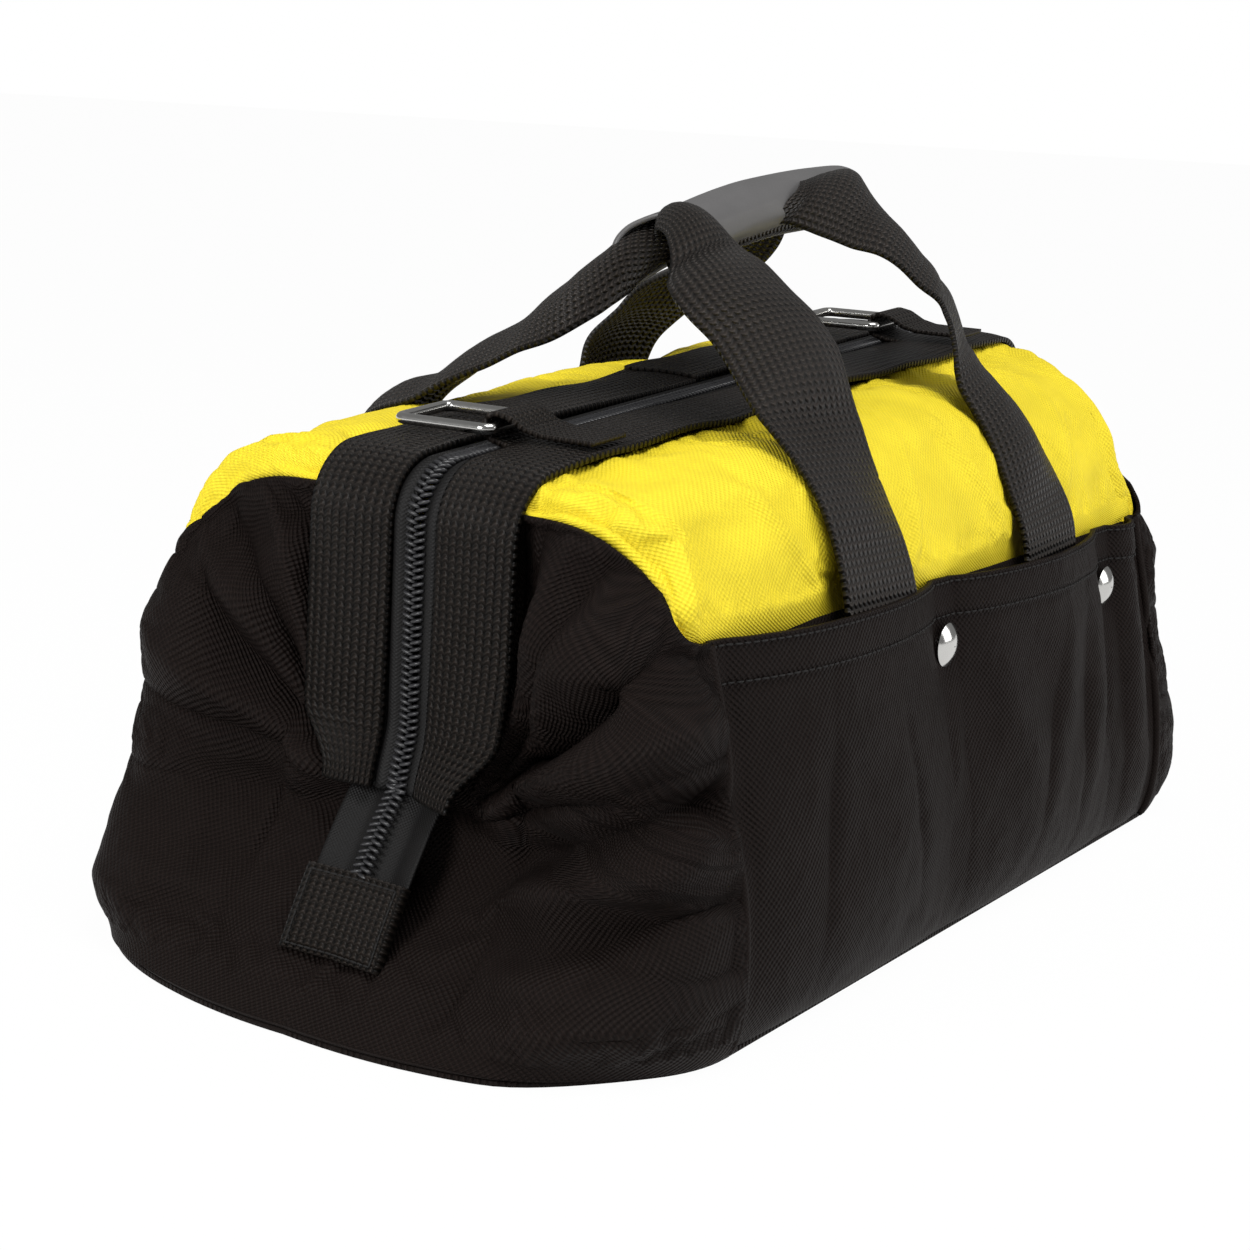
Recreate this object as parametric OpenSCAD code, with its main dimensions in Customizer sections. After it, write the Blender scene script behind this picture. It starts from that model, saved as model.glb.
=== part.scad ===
// Soft wide-mouth tool bag: padded fabric body on a flat base, a coil zip from end
// to end, two webbing handles in one grip wrap, and an outer pocket on each side.
// X runs along the bag, +Z is up, and the origin is the centre of the base.

/* [Body] */
// Distance between the front and rear corner seams
seam_len = 334; // [300:1:380]
// Width across the corner seams at the floor
base_w = 214; // [190:1:240]
// Width across the corner seams at the pockets' top edges
rim_w = 192; // [170:1:200]
// Extra reach of each side low down, where the bag bellies out
belly = 10; // [0:0.5:14]
// Extra reach of the middle of each side panel
side_bulge = 4; // [2:0.5:6]
// Height of the pockets' top edges
pocket_h = 121; // [110:1:130]
// Height of the webbing strips beside the zip, at the middle of the bag
ridge_h = 174; // [170:1:178]
// Rise of that ridge towards the rear
ridge_tilt = 4.3; // [3.5:0.1:5]
// Reach of each end past its corner seams at the floor
end_flare = 59; // [45:1:65]
// Reach of each end past its corner seams behind the zip
end_lift = 6.5; // [5:0.5:8]
// Swell of each end beside the zip
end_lobe = 25; // [10:1:30]
// Swell of the yellow panels above the straight line from pocket to zip
shoulder = 17; // [8:1:20]
// Thickness of the padded fabric
wall_t = 1.6; // [1.2:0.1:2]
// Thickness of the stiffening board
board_t = 3; // [2:0.5:4]

/* [Pockets] */
// Depth of a pocket at its middle
pocket_gap = 10; // [8:0.5:11]
// Depth of the folded hem
hem_h = 14; // [10:1:18]
// Extra thickness of the folded hem
hem_t = 1; // [0.6:0.1:1.4]
// Place of the divider nearer the middle
divider_mid = -22; // [-30:1:-10]
// Place of the divider nearer the rear
divider_rear = 125; // [118:1:132]
// Diameter of a rivet cap
cap_d = 15.5; // [12:0.5:17]
// Height of a rivet cap's dome
cap_h = 3; // [2:0.1:4]
// Diameter of a rivet's shank
shank_d = 4; // [3:0.5:5]

/* [Zip and mouth] */
// Width of a webbing strip
strip_w = 30; // [26:1:32]
// Thickness of a webbing strip
strip_t = 2; // [1.6:0.1:2.4]
// Gap between the two strips
strip_gap = 18; // [16:1:20]
// Length of the part of the mouth that opens
mouth_len = 220; // [180:1:230]
// Radius of the strips where they turn down each end
turn_r = 20; // [16:1:24]
// Height at which the strips end
strip_foot = 62; // [58:1:66]
// Thickness of the zip tape
tape_t = 1; // [0.8:0.1:1.2]
// Width of one half of the zip tape
tape_w = 17.8; // [15:0.1:18]
// Gap between the two halves of the tape, under the coil
tape_gap = 4.4; // [4:0.1:5]
// Distance from tooth to tooth along one side
coil_pitch = 2.2; // [2:0.1:2.6]
// Height of the coil
coil_h = 2.6; // [2:0.1:3]
// Width of the coil's back on one side
coil_back = 1.4; // [1:0.1:1.6]
// Reach of a tooth past the middle
tooth_reach = 1.2; // [0.8:0.1:1.4]
// Width of a tooth's neck
neck_w = 0.6; // [0.5:0.05:0.7]
// Width of a tooth's head
head_w = 0.86; // [0.7:0.02:0.94]
// Length of a tooth's head
head_l = 1; // [0.8:0.1:1.4]

/* [Slider and tails] */
// Length of the slider
slider_len = 22; // [18:1:24]
// Width of the slider
slider_w = 13; // [12:0.5:14]
// Thickness of each slider plate
plate_t = 1.6; // [1.4:0.1:2]
// Lowest point of the slider when the zip is shut
slider_foot = 68; // [67:1:70]
// Height of the pull tab's pin above the slider's foot
pin_up = 16; // [15:0.5:18]
// Diameter of that pin
pin_d = 2; // [1.6:0.1:2.4]
// Length of the pull tab below its pin
pull_len = 19.5; // [14:0.5:20]
// Width of the pull tab
pull_w = 9; // [7:0.5:11]
// Lean of the loose tail from upright
tail_lean = 41; // [38:1:46]
// Length of the loose tail's tape
tail_len = 34; // [28:1:38]
// Width of the webbing end tab
tab_w = 37; // [36:1:40]
// Length of the webbing end tab
tab_len = 25; // [20:1:27]
// Thickness of the folded end tab
tab_t = 3.6; // [3:0.2:4.4]

/* [Rings] */
// Outer length of a ring
ring_len = 38; // [34:1:42]
// Outer width of a ring
ring_w = 30; // [26:1:32]
// Diameter of the ring's wire
wire_d = 3.6; // [3:0.1:4]
// Corner radius of a ring at the middle of the wire
ring_r = 3; // [2.5:0.5:4]
// Distance of a ring from the middle of the bag
ring_x = 131; // [128:1:134]
// Width of the webbing that holds a ring
loop_w = 19; // [16:1:20]
// Thickness of that webbing
loop_t = 1.5; // [1.2:0.1:1.8]

/* [Handles] */
// Width of the handle webbing
web_w = 48; // [38:1:50]
// Thickness of the handle webbing
web_t = 1.8; // [1.5:0.1:2.2]
// Distance between the two legs of a handle at the bag
leg_gap = 136; // [130:1:140]
// Distance between the two legs of a handle at the grip
leg_gap_top = 104; // [100:1:112]
// Height of the middle of the grip
grip_h = 237; // [225:1:245]
// Lean of the grip, up towards the rear
grip_tilt = 8; // [4:1:9]
// Height of the webbing bundle inside the wrap
bundle_h = 16; // [14:1:18]
// Thickness of one handle's webbing bundle
bundle_t = 8; // [6:0.5:9]
// Radius of the turn from leg to grip
grip_turn = 10; // [8:1:14]
// Length of the grip wrap
wrap_len = 132; // [126:1:142]
// Thickness of the grip wrap
wrap_t = 1.8; // [1.2:0.1:2.4]
// Open seam along the underside of the wrap
wrap_slit = 3; // [2:0.5:4]

/* [Hidden] */

// Clearance between neighbouring layers and pieces
fit = 0.3;
// Overrun of a cut past the face that it opens
over = 1;
// Roundness of turned pieces
$fn = 48;

black = "#1c1918";
webbing = "#211f1f";
yellow = "#ecd632";
metal = "#c9cdd2";
leather = "#2c2b2d";
coil_black = "#2a2a2c";

seam_x = seam_len / 2;
mouth_x = mouth_len / 2;
// Lowest edge of the upright fabric, on the base panel
side_foot = wall_t + fit;
strip_in = strip_gap / 2;
strip_out = strip_in + strip_w;
end_face = seam_x + end_lift;
tape_in = tape_gap / 2;
tape_out = tape_in + tape_w;
// The layers of an end, from the fabric outwards
tape_x = end_face + fit;
web_x = tape_x + tape_t + fit;
front_x = web_x + strip_t;
// Depths of the tape and of the coil's foot below the strips' outer face
tape_d = strip_t + fit;
coil_d = tape_d - fit / 2;
turn_x = front_x - turn_r;
// Height of the middle of a turn; end is 1 at the rear and -1 at the front
function turn_z(end) = ridge_h + end * turn_x * tan(ridge_tilt) - turn_r / cos(ridge_tilt);

// Smooth step from 0 to 1 as t goes from 0 to 1
function ease(t) = let (s = min(1, max(0, t))) s * s * (3 - 2 * s);
function mix(a, b, t) = a * (1 - t) + b * t;
function unit(v) = v / norm(v);

// Half width across a pair of corner seams at height z
belly_share = 0.57;
function half_w(z) =
  let (s = min(1, z / pocket_h))
  mix(base_w, rim_w, z / pocket_h) / 2 + belly * sin(180 * pow(s, belly_share));

// Reach of an end past its seams at height z, behind the zip. The two halves of
// an end part from slot_foot upwards.
slot_rise = 5 * wall_t;
slot_foot = strip_foot - slot_rise;
flare_power = 1.4;
function end_reach(z) =
  end_lift + end_flare * pow(max(0, 1 - max(0, z - side_foot) / (slot_foot - side_foot)), flare_power);

// Swell beside the zip: a is the angle round the end, 0 at the zip and 90 at the seam
lobe_a = 25;
lobe_share = 0.12;
lobe_rise = ridge_h * lobe_share;
fall_share = 0.6;
fall_z = (ridge_h - pocket_h) * fall_share;
function lobe(a, z) =
  let (s = (abs(a) - lobe_a) / (90 - lobe_a))
  s <= 0 ? 0 : end_lobe * sin(180 * s) * ease(z / lobe_rise)
    * (1 - ease((z - pocket_h + fall_z / 3) / fall_z));

// Point on the outer face of an end, towards +X
function end_point(a, z) =
  [seam_x + end_reach(z) * cos(a) + lobe(a, z), half_w(z) * sin(a), z];

// Height of the yellow panels' edge over an end, and of that end's own edge under it
side_top = pocket_h - wall_t;
function seam_top(end, a) =
  let (s = (abs(sin(a)) - sin(lobe_a)) / (1 - sin(lobe_a)))
  mix(turn_z(end), side_top, max(0, s));
function end_top(end, a) = seam_top(end, a) - wall_t - fit;

// Closed skin of thickness t behind a grid of points; t is one value or a grid.
// A level foot is as thick as that along the floor.
function at(t, i, j) = is_list(t) ? t[i][j] : t;
function face_dir(p, i, j) =
  let (
    ni = len(p) - 1, nj = len(p[0]) - 1,
    a = p[min(i + 1, ni)][j] - p[max(i - 1, 0)][j],
    b = p[i][min(j + 1, nj)] - p[i][max(j - 1, 0)]
  ) unit(cross(a, b));
function wall_dir(p, i, j, level) =
  let (d = face_dir(p, i, j)) level && j == 0 ? unit([d.x, d.y, 0]) : d;
module skin(p, t, level = false) {
  ni = len(p);
  nj = len(p[0]);
  n = ni * nj;
  outer = [for (i = [0:ni - 1], j = [0:nj - 1]) p[i][j]];
  inner = [for (i = [0:ni - 1], j = [0:nj - 1]) p[i][j] - at(t, i, j) * wall_dir(p, i, j, level)];
  function k(i, j) = i * nj + j;
  polyhedron(
    concat(outer, inner),
    concat(
      [for (i = [0:ni - 2], j = [0:nj - 2], h = [0, 1])
        h == 0 ? [k(i, j), k(i, j + 1), k(i + 1, j + 1)]
               : [k(i, j), k(i + 1, j + 1), k(i + 1, j)]],
      [for (i = [0:ni - 2], j = [0:nj - 2], h = [0, 1])
        h == 0 ? [n + k(i, j), n + k(i + 1, j + 1), n + k(i, j + 1)]
               : [n + k(i, j), n + k(i + 1, j), n + k(i + 1, j + 1)]],
      [for (i = [0:ni - 2], h = [0, 1])
        h == 0 ? [k(i, 0), k(i + 1, 0), n + k(i + 1, 0)] : [k(i, 0), n + k(i + 1, 0), n + k(i, 0)]],
      [for (i = [0:ni - 2], h = [0, 1])
        h == 0 ? [k(i, nj - 1), n + k(i + 1, nj - 1), k(i + 1, nj - 1)]
               : [k(i, nj - 1), n + k(i, nj - 1), n + k(i + 1, nj - 1)]],
      [for (j = [0:nj - 2], h = [0, 1])
        h == 0 ? [k(0, j), n + k(0, j + 1), k(0, j + 1)] : [k(0, j), n + k(0, j), n + k(0, j + 1)]],
      [for (j = [0:nj - 2], h = [0, 1])
        h == 0 ? [k(ni - 1, j), k(ni - 1, j + 1), n + k(ni - 1, j + 1)]
               : [k(ni - 1, j), n + k(ni - 1, j + 1), n + k(ni - 1, j)]]
    )
  );
}

// Base: a flat panel with rounded ends, and the board that stiffens it
end_steps = 16;
module base_panel() {
  color(black)
    linear_extrude(wall_t)
      polygon([for (side = [0, 180], i = [-end_steps:end_steps])
        let (p = end_point(90 * i / end_steps, side_foot))
          [p.x, p.y] * (side == 0 ? 1 : -1)]);
}
board_margin = 7;
board_r = 18;
module base_board() {
  color("dimgray")
    translate([0, 0, wall_t + fit])
      linear_extrude(board_t)
        offset(board_r)
          square([seam_len - 2 * (board_margin + board_r), base_w - 2 * (board_margin + board_r)],
                 center = true);
}

// Side panel behind the pocket; s runs from -1 to 1 along it
function side_y(s, z) =
  half_w(z) - wall_t - fit + side_bulge * (1 - s * s) * sqrt(min(1, z / pocket_h));
side_cols = 14;
module side_near() {
  color(black)
    skin([for (i = [0:side_cols]) [for (j = [0:hem_row])
      let (s = 1 - 2 * i / side_cols, z = j < hem_row ? pocket_z(j) : side_top - fit)
        [-(seam_x - fit) * s, -side_y(s, z), z]]], wall_t);
}
module side_far() { rotate(180) side_near(); }

// Half of an end: one piece of fabric from the corner seam to the zip's slot.
// Below the zip the two halves meet on the middle line.
slot_share = 0.6;
slot_y = tape_out * slot_share;
end_cols = 12;
end_rows = 12;
// Rows of points lie closer together low down
row_power = 1.4;
function slot_a(z) =
  asin((fit / 2 + (slot_y - fit / 2) * ease((z - slot_foot) / slot_rise)) / half_w(z));
module end_half(end) {
  skin([for (i = [0:end_cols]) [for (j = [0:end_rows])
    let (
      t = i / end_cols,
      z = mix(side_foot, end_top(end, mix(slot_a(turn_z(end)), 90, t)), pow(j / end_rows, row_power))
    ) end_point(mix(slot_a(z), 90, t), z)]], wall_t, true);
}
module end_pair(end) {
  color(black) {
    end_half(end);
    mirror([0, 1, 0]) end_half(end);
  }
}
module end_rear() { end_pair(1); }
module end_front() { rotate(180) end_pair(-1); }

// Yellow panel: a patch between the side panel's top edge, the strips' outer
// edge and the two ends' top edges. u runs along it and v up it, from 0 to 1.
turn_share = 0.1;
function along(u) = min(1, max(0, (u - turn_share) / (1 - 2 * turn_share)));
function past_turn(u) = max(0, 1 - u / turn_share, 1 - (1 - u) / turn_share);
function end_sign(u) = u < 1 / 2 ? -1 : 1;
function top_low(u) =
  let (x = mix(mix(-turn_x, turn_x, along(u)), end_sign(u) * seam_x, past_turn(u)))
  [x, -side_y(x / seam_x, side_top), side_top];
rim_r = turn_r - strip_t / 2;
function rim_point(end, a) =
  [end * (turn_x + rim_r * sin(a)), -strip_out - 2 * fit, turn_z(end) + rim_r * cos(a)];
function top_high(u) =
  let (end = end_sign(u), t = past_turn(u))
  t > 0 ? rim_point(end, mix(-end * ridge_tilt, 90, t))
        : mix(rim_point(-1, ridge_tilt), rim_point(1, -ridge_tilt), along(u));
function top_end(end, v) =
  let (a = mix(90, lobe_a, v), p = end_point(a, seam_top(end, a))) [end * p.x, -p.y, p.z];
rise = [0, -(ridge_h - pocket_h), rim_w / 2 - strip_out];
swell_power = 0.85;
swell_ends = 0.4;
function top_point(u, v) =
  let (
    lo = top_low(u), hi = top_high(u), e0 = top_end(-1, v), e1 = top_end(1, v),
    c00 = top_end(-1, 0), c01 = top_end(-1, 1), c10 = top_end(1, 0), c11 = top_end(1, 1),
    bilinear = (1 - u) * ((1 - v) * c00 + v * c01) + u * ((1 - v) * c10 + v * c11)
  ) (1 - v) * lo + v * hi + (1 - u) * e0 + u * e1 - bilinear
    + shoulder * sin(180 * pow(v, swell_power)) * pow(sin(180 * u), swell_ends) * unit(rise);
top_cols = 30;
top_rows = 8;
module top_near() {
  color(yellow)
    skin([for (i = [0:top_cols]) [for (j = [0:top_rows])
      top_point(i / top_cols, j / top_rows)]], wall_t);
}
module top_far() { mirror([0, 1, 0]) top_near(); }

// Outer pocket: it lies on the side panel at its ends and dividers, and stands
// off between them. Its top edge is a folded hem.
seat = cap_d / 2;
bays = [[fit - seam_x, divider_mid], [divider_mid, divider_rear], [divider_rear, seam_x - fit]];
bay_cols = [12, 12, 6];
puff_power = 0.7;
lift_power = 0.5;
// Share t of the way across bay b, clear of the flat seats at its two edges
function bay_x(b, t) = mix(bays[b][0] + seat, bays[b][1] - seat, t);
function stand_off(b, t) =
  pocket_gap * min(1, 2 * (bays[b][1] - bays[b][0]) / (divider_rear - divider_mid))
    * pow(sin(180 * t), puff_power);
pocket_rows = 9;
hem_row = pocket_rows - 2;
function pocket_z(j) = j < hem_row
  ? mix(side_foot, pocket_h - hem_h - wall_t, j / (hem_row - 1))
  : pocket_h - hem_h * (pocket_rows - j) / 2;
function hem(j) = j < hem_row ? 0 : hem_t;
function pocket_point(x, off, j) =
  let (z = pocket_z(j))
  [x, -side_y(x / seam_x, min(z, side_top)) - fit - wall_t - off * pow(z / pocket_h, lift_power)
    - hem(j) / 2, z];
// Columns of a pocket: place along the bag and stand-off of the top edge
pocket_cols = concat(
  [[fit - seam_x, 0]],
  [for (b = [0:len(bays) - 1], i = [0:bay_cols[b]])
    let (t = i / bay_cols[b]) [bay_x(b, t), stand_off(b, t)]],
  [[seam_x - fit, 0]]
);
module pocket_near() {
  color(black)
    skin([for (c = pocket_cols) [for (j = [0:pocket_rows]) pocket_point(c[0], c[1], j)]],
         [for (c = pocket_cols) [for (j = [0:pocket_rows]) wall_t + hem(j) / 2]]);
}
module pocket_far() { rotate(180) pocket_near(); }

// Rivets that hold the hem at the dividers
rivet_z = pocket_h - hem_h - cap_d / 2;
burr_share = 0.7;
module rivet(x) {
  y = side_y(x / seam_x, rivet_z);
  dome_r = (cap_d * cap_d / 4 + cap_h * cap_h) / (2 * cap_h);
  translate([x, -y - fit - wall_t, rivet_z])
    rotate([90, 0, 0]) {
      rotate_extrude()
        intersection() {
          translate([0, cap_h - dome_r]) circle(dome_r);
          translate([0, fit]) square([cap_d / 2, cap_h]);
        }
      translate([0, 0, -fit - 2 * wall_t - cap_h / 2]) {
        cylinder(d = shank_d, h = fit + 2 * wall_t + cap_h);
        cylinder(d = cap_d * burr_share, h = cap_h / 2 - fit);
      }
    }
}
module rivets_near() {
  color(metal) {
    rivet(divider_mid);
    rivet(divider_rear);
  }
}
module rivets_far() { rotate(180) rivets_near(); }

// Path of the strips and the tape round an end: along the ridge from the mouth,
// round the turn and down to the foot, as an outline of thickness t whose outer
// face lies d inside the strips' outer face
turn_cuts = 12;
module end_path(end, d, t) {
  b = end * ridge_tilt;
  r = turn_r - d;
  x0 = mouth_x + fit;
  z0 = ridge_h + x0 * tan(b) - d / cos(b);
  polygon(concat(
    [[x0, z0]],
    [for (i = [0:turn_cuts]) let (a = mix(-b, 90, i / turn_cuts))
      [turn_x + r * sin(a), turn_z(end) + r * cos(a)]],
    [[front_x - d, strip_foot], [front_x - d - t, strip_foot]],
    [for (i = [turn_cuts:-1:0]) let (a = mix(-b, 90, i / turn_cuts))
      [turn_x + (r - t) * sin(a), turn_z(end) + (r - t) * cos(a)]],
    [[x0, z0 - t / cos(b)]]
  ));
}
module end_band(end, y0, y1, d, t) {
  translate([0, y1, 0])
    rotate([90, 0, 0])
      linear_extrude(y1 - y0)
        end_path(end, d, t);
}
module end_web(end) { color(webbing) end_band(end, strip_in, strip_out, 0, strip_t); }
module end_web_rear_far() { end_web(1); }
module end_web_rear_near() { mirror([0, 1, 0]) end_web(1); }
module end_web_front_far() { mirror([1, 0, 0]) end_web(-1); }
module end_web_front_near() { rotate(180) end_web(-1); }

module end_tape(end) {
  color(black) {
    end_band(end, tape_in, tape_out, tape_d, tape_t);
    mirror([0, 1, 0]) end_band(end, tape_in, tape_out, tape_d, tape_t);
  }
}
module zip_tape_rear() { end_tape(1); }
module zip_tape_front() { mirror([1, 0, 0]) end_tape(-1); }

// Frame of the ridge: X runs along it, and Z is 0 at the strips' outer face
module at_ridge(tilt) {
  translate([0, 0, ridge_h]) rotate([0, -tilt, 0]) children();
}

// One side of the coil: a back with headed teeth that lie between the teeth of
// the other side. It runs along +X from 0 on its own middle line.
coil_y = tape_in + coil_back / 2;
function tooth(c) = [
  [c - neck_w / 2, coil_y], [c - neck_w / 2, -tooth_reach + head_l],
  [c - head_w / 2, -tooth_reach + head_l - head_w / 4], [c - head_w / 2, -tooth_reach + head_w / 4],
  [c - head_w / 4, -tooth_reach], [c + head_w / 4, -tooth_reach],
  [c + head_w / 2, -tooth_reach + head_w / 4], [c + head_w / 2, -tooth_reach + head_l - head_w / 4],
  [c + neck_w / 2, -tooth_reach + head_l], [c + neck_w / 2, coil_y]
];
function comb(len, shift) =
  let (first = (1 / 2 + shift) * coil_pitch / 2, count = floor((len - first - head_w) / coil_pitch) + 1)
  concat(
    [[0, coil_y + coil_back], [0, coil_y]],
    [for (k = [0:count - 1]) each tooth(first + k * coil_pitch)],
    [[len, coil_y], [len, coil_y + coil_back]]
  );
module coil_side(len, shift) {
  linear_extrude(coil_h) polygon(comb(len, shift));
}
// Both sides, the second one half a pitch along
module coil_pair(len) {
  coil_side(len, 0);
  mirror([0, 1, 0]) coil_side(len, 1);
}

// The coil round an end: a straight start along the ridge, the turn tooth by
// tooth, and the straight run down to its foot
coil_r = turn_r - coil_d;
module turn_side(end, shift) {
  sweep = 90 + end * ridge_tilt;
  count = floor(coil_r * PI * sweep / 180 / coil_pitch);
  function rim(r, i) = let (a = mix(-end * ridge_tilt, 90, i / turn_cuts)) r * [sin(a), cos(a)];
  translate([0, coil_y + coil_back, 0])
    rotate([90, 0, 0])
      linear_extrude(coil_back)
        polygon(concat([for (i = [0:turn_cuts]) rim(coil_r + coil_h, i)],
                       [for (i = [turn_cuts:-1:0]) rim(coil_r, i)]));
  for (k = [0:count - 1])
    rotate([0, sweep * (k + 1 / 4 + shift / 2) / count - end * ridge_tilt, 0])
      translate([-neck_w / 2, -tooth_reach, coil_r])
        cube([neck_w, tooth_reach + coil_y + fit / 2, coil_h]);
}
module end_coil_side(end, shift, foot) {
  first = mouth_x + fit;
  turn_start = turn_x / cos(ridge_tilt) - end * turn_r * tan(ridge_tilt);
  at_ridge(end * ridge_tilt) translate([first, 0, -coil_d]) coil_side(turn_start - first, shift);
  translate([turn_x, 0, turn_z(end)]) turn_side(end, shift);
  translate([turn_x + coil_r, 0, turn_z(end)])
    rotate([0, 90, 0])
      coil_side(turn_z(end) - foot, shift);
}
module end_coil(end, foot) {
  color(coil_black) {
    end_coil_side(end, 0, foot);
    mirror([0, 1, 0]) end_coil_side(end, 1, foot);
  }
}
// The post of the slider stands below the last teeth of the rear run
post_l = 5;
module zip_coil_rear() { end_coil(1, slider_foot + post_l + plate_t + fit); }
module zip_coil_front() { mirror([1, 0, 0]) end_coil(-1, strip_foot); }

// The mouth's two sides: strip, tape and coil, turning at the strip's outer edge
module mouth_bar(y0, y1, d, t) {
  at_ridge(ridge_tilt) translate([-mouth_x, y0, -d - t]) cube([mouth_len, y1 - y0, t]);
}
module mouth_web_far() { color(webbing) mouth_bar(strip_in, strip_out, 0, strip_t); }
module mouth_web_near() { mirror([0, 1, 0]) mouth_web_far(); }
module mouth_tape_far() { color(black) mouth_bar(tape_in, tape_out, tape_d, tape_t); }
module mouth_tape_near() { mirror([0, 1, 0]) mouth_tape_far(); }
module mouth_coil(shift) {
  color(coil_black)
    at_ridge(ridge_tilt)
      translate([-mouth_x, 0, -coil_d])
        coil_side(mouth_len, shift);
}
module mouth_coil_far() { mouth_coil(0); }
module mouth_coil_near() { mirror([0, 1, 0]) mouth_coil(1); }

// Loose tails of the zip: tape, coil at the front only, and a folded end tab.
// Local axes: the tail hangs along -Z from its fold, with its face towards +X.
module at_tail() {
  translate([front_x, 0, strip_foot - fit]) rotate([0, -tail_lean, 0]) children();
}
module tail_tape() {
  color(black)
    at_tail()
      for (side = [-1, 1])
        translate([-tape_t, side * (tape_in + tape_out) / 2 - tape_w / 2, -fit - tail_len])
          cube([tape_t, tape_w, tail_len]);
}
module tail_tab() {
  color(webbing)
    at_tail()
      translate([-tab_t / 2 - tape_t / 2, -tab_w / 2, -fit - tail_len - fit - tab_len])
        cube([tab_t, tab_w, tab_len]);
}
module tail_tape_rear() { tail_tape(); }
module tail_tape_front() { mirror([1, 0, 0]) tail_tape(); }
module tail_tab_rear() { tail_tab(); }
module tail_tab_front() { mirror([1, 0, 0]) tail_tab(); }
module tail_coil_front() {
  color(coil_black)
    mirror([1, 0, 0])
      at_tail()
        translate([fit / 2, 0, -fit - coil_pitch])
          rotate([0, 90, 0])
            coil_pair(tail_len - coil_pitch - fit);
}

// Slider: two plates joined by a post at its foot, flanges along the sides and
// a bridge that carries the pull tab. It rides on the rear run.
slot_h = coil_h + tape_t + 3 * fit;
flange_t = plate_t;
lug_t = 1.4;
knuckle_w = 3.6;
knuckle_d = 2 * pin_d;
pin_h = knuckle_d / 2 + fit;
plate_x = tape_x - fit - plate_t;
module slider_outline(w, l) {
  offset(plate_t) offset(-plate_t) polygon([
    [-w / 2, 0], [-w / 4, -plate_t], [w / 4, -plate_t], [w / 2, 0],
    [w / 2, l - w / 3], [w / 3, l], [-w / 3, l], [-w / 2, l - w / 3]
  ]);
}
module slider() {
  inner_w = 2 * (coil_y + coil_back + fit);
  color(metal)
    translate([plate_x, 0, slider_foot])
      rotate([90, 0, 90]) {
        translate([0, plate_t]) {
          linear_extrude(plate_t) slider_outline(slider_w, slider_len - plate_t);
          translate([0, 0, plate_t + slot_h])
            linear_extrude(plate_t) slider_outline(slider_w, slider_len - plate_t);
        }
        // Post between the two halves of the tape
        translate([-tape_in + fit, plate_t, plate_t / 2])
          cube([2 * (tape_in - fit), post_l, slot_h + plate_t]);
        // Flanges beside the coil, clear of the tape
        for (side = [-1, 1])
          translate([side * (inner_w / 2 + flange_t / 2) - flange_t / 2,
                     slider_len / 4, plate_t + tape_t + 3 * fit])
            cube([flange_t, slider_len / 2, slot_h - tape_t - 3 * fit + plate_t / 2]);
        // Lugs and the pin between them, which carries the pull tab
        translate([0, pin_up, 2 * plate_t + slot_h]) {
          for (side = [-1, 1])
            translate([side * (knuckle_w / 2 + fit + lug_t / 2) - lug_t / 2, 0, 0]) {
              translate([0, -pin_d, -plate_t / 2]) cube([lug_t, 2 * pin_d, pin_h + plate_t / 2]);
              translate([0, 0, pin_h]) rotate([0, 90, 0]) cylinder(r = pin_d, h = lug_t);
            }
          translate([-knuckle_w / 2 - fit - lug_t / 2, 0, pin_h])
            rotate([0, 90, 0]) cylinder(d = pin_d, h = knuckle_w + 2 * fit + lug_t);
        }
      }
}

// Pull tab: a knuckle on the pin, a neck and a flat tab with a hole, hanging down
pull_t = 1.6;
pin_fit = 0.08;
pin_x = plate_x + 2 * plate_t + slot_h + pin_h;
pin_z = slider_foot + pin_up;
neck_l = pin_d + fit;
module pull_tab() {
  color(metal)
    translate([pin_x, 0, pin_z])
      difference() {
        union() {
          translate([0, -knuckle_w / 2, 0]) rotate([-90, 0, 0]) cylinder(d = knuckle_d, h = knuckle_w);
          translate([-pull_t / 2, 0, 0])
            rotate([90, 0, 90])
              linear_extrude(pull_t)
                difference() {
                  union() {
                    translate([-knuckle_w / 2, -2 * neck_l]) square([knuckle_w, 2 * neck_l]);
                    translate([0, -pull_len])
                      offset(pull_w / 4) offset(-pull_w / 4)
                        translate([-pull_w / 2, 0]) square([pull_w, pull_len - neck_l]);
                  }
                  translate([0, -pull_len + pull_w / 2]) circle(d = pull_w / 2);
                }
        }
        translate([0, -knuckle_w / 2 - over, 0])
          rotate([-90, 0, 0]) cylinder(d = pin_d + 2 * pin_fit, h = knuckle_w + 2 * over);
      }
}

// Carry rings, each in a loop of webbing sewn on the near strip
loop_foot = coil_h + fit - coil_d;
ring_z = loop_foot + 2 * loop_t + fit + wire_d / 2;
loop_y = -strip_in / 4;
module ring(end) {
  a = ring_w / 2 - wire_d / 2 - ring_r;
  l = ring_len - wire_d;
  color(metal)
    at_ridge(ridge_tilt)
      translate([end * ring_x, loop_y, ring_z]) {
        for (x = [-1, 1], y = [0, 1])
          translate([x * a, y == 0 ? ring_r : l - ring_r, 0])
            rotate(y == 0 ? (x < 0 ? 180 : 270) : (x < 0 ? 90 : 0))
              rotate_extrude(angle = 90) translate([ring_r, 0]) circle(d = wire_d);
        for (y = [0, l]) translate([-a, y, 0]) rotate([0, 90, 0]) cylinder(d = wire_d, h = 2 * a);
        for (x = [-1, 1])
          translate([x * (a + ring_r), ring_r, 0])
            rotate([-90, 0, 0])
              cylinder(d = wire_d, h = l - 2 * ring_r);
      }
}
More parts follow.
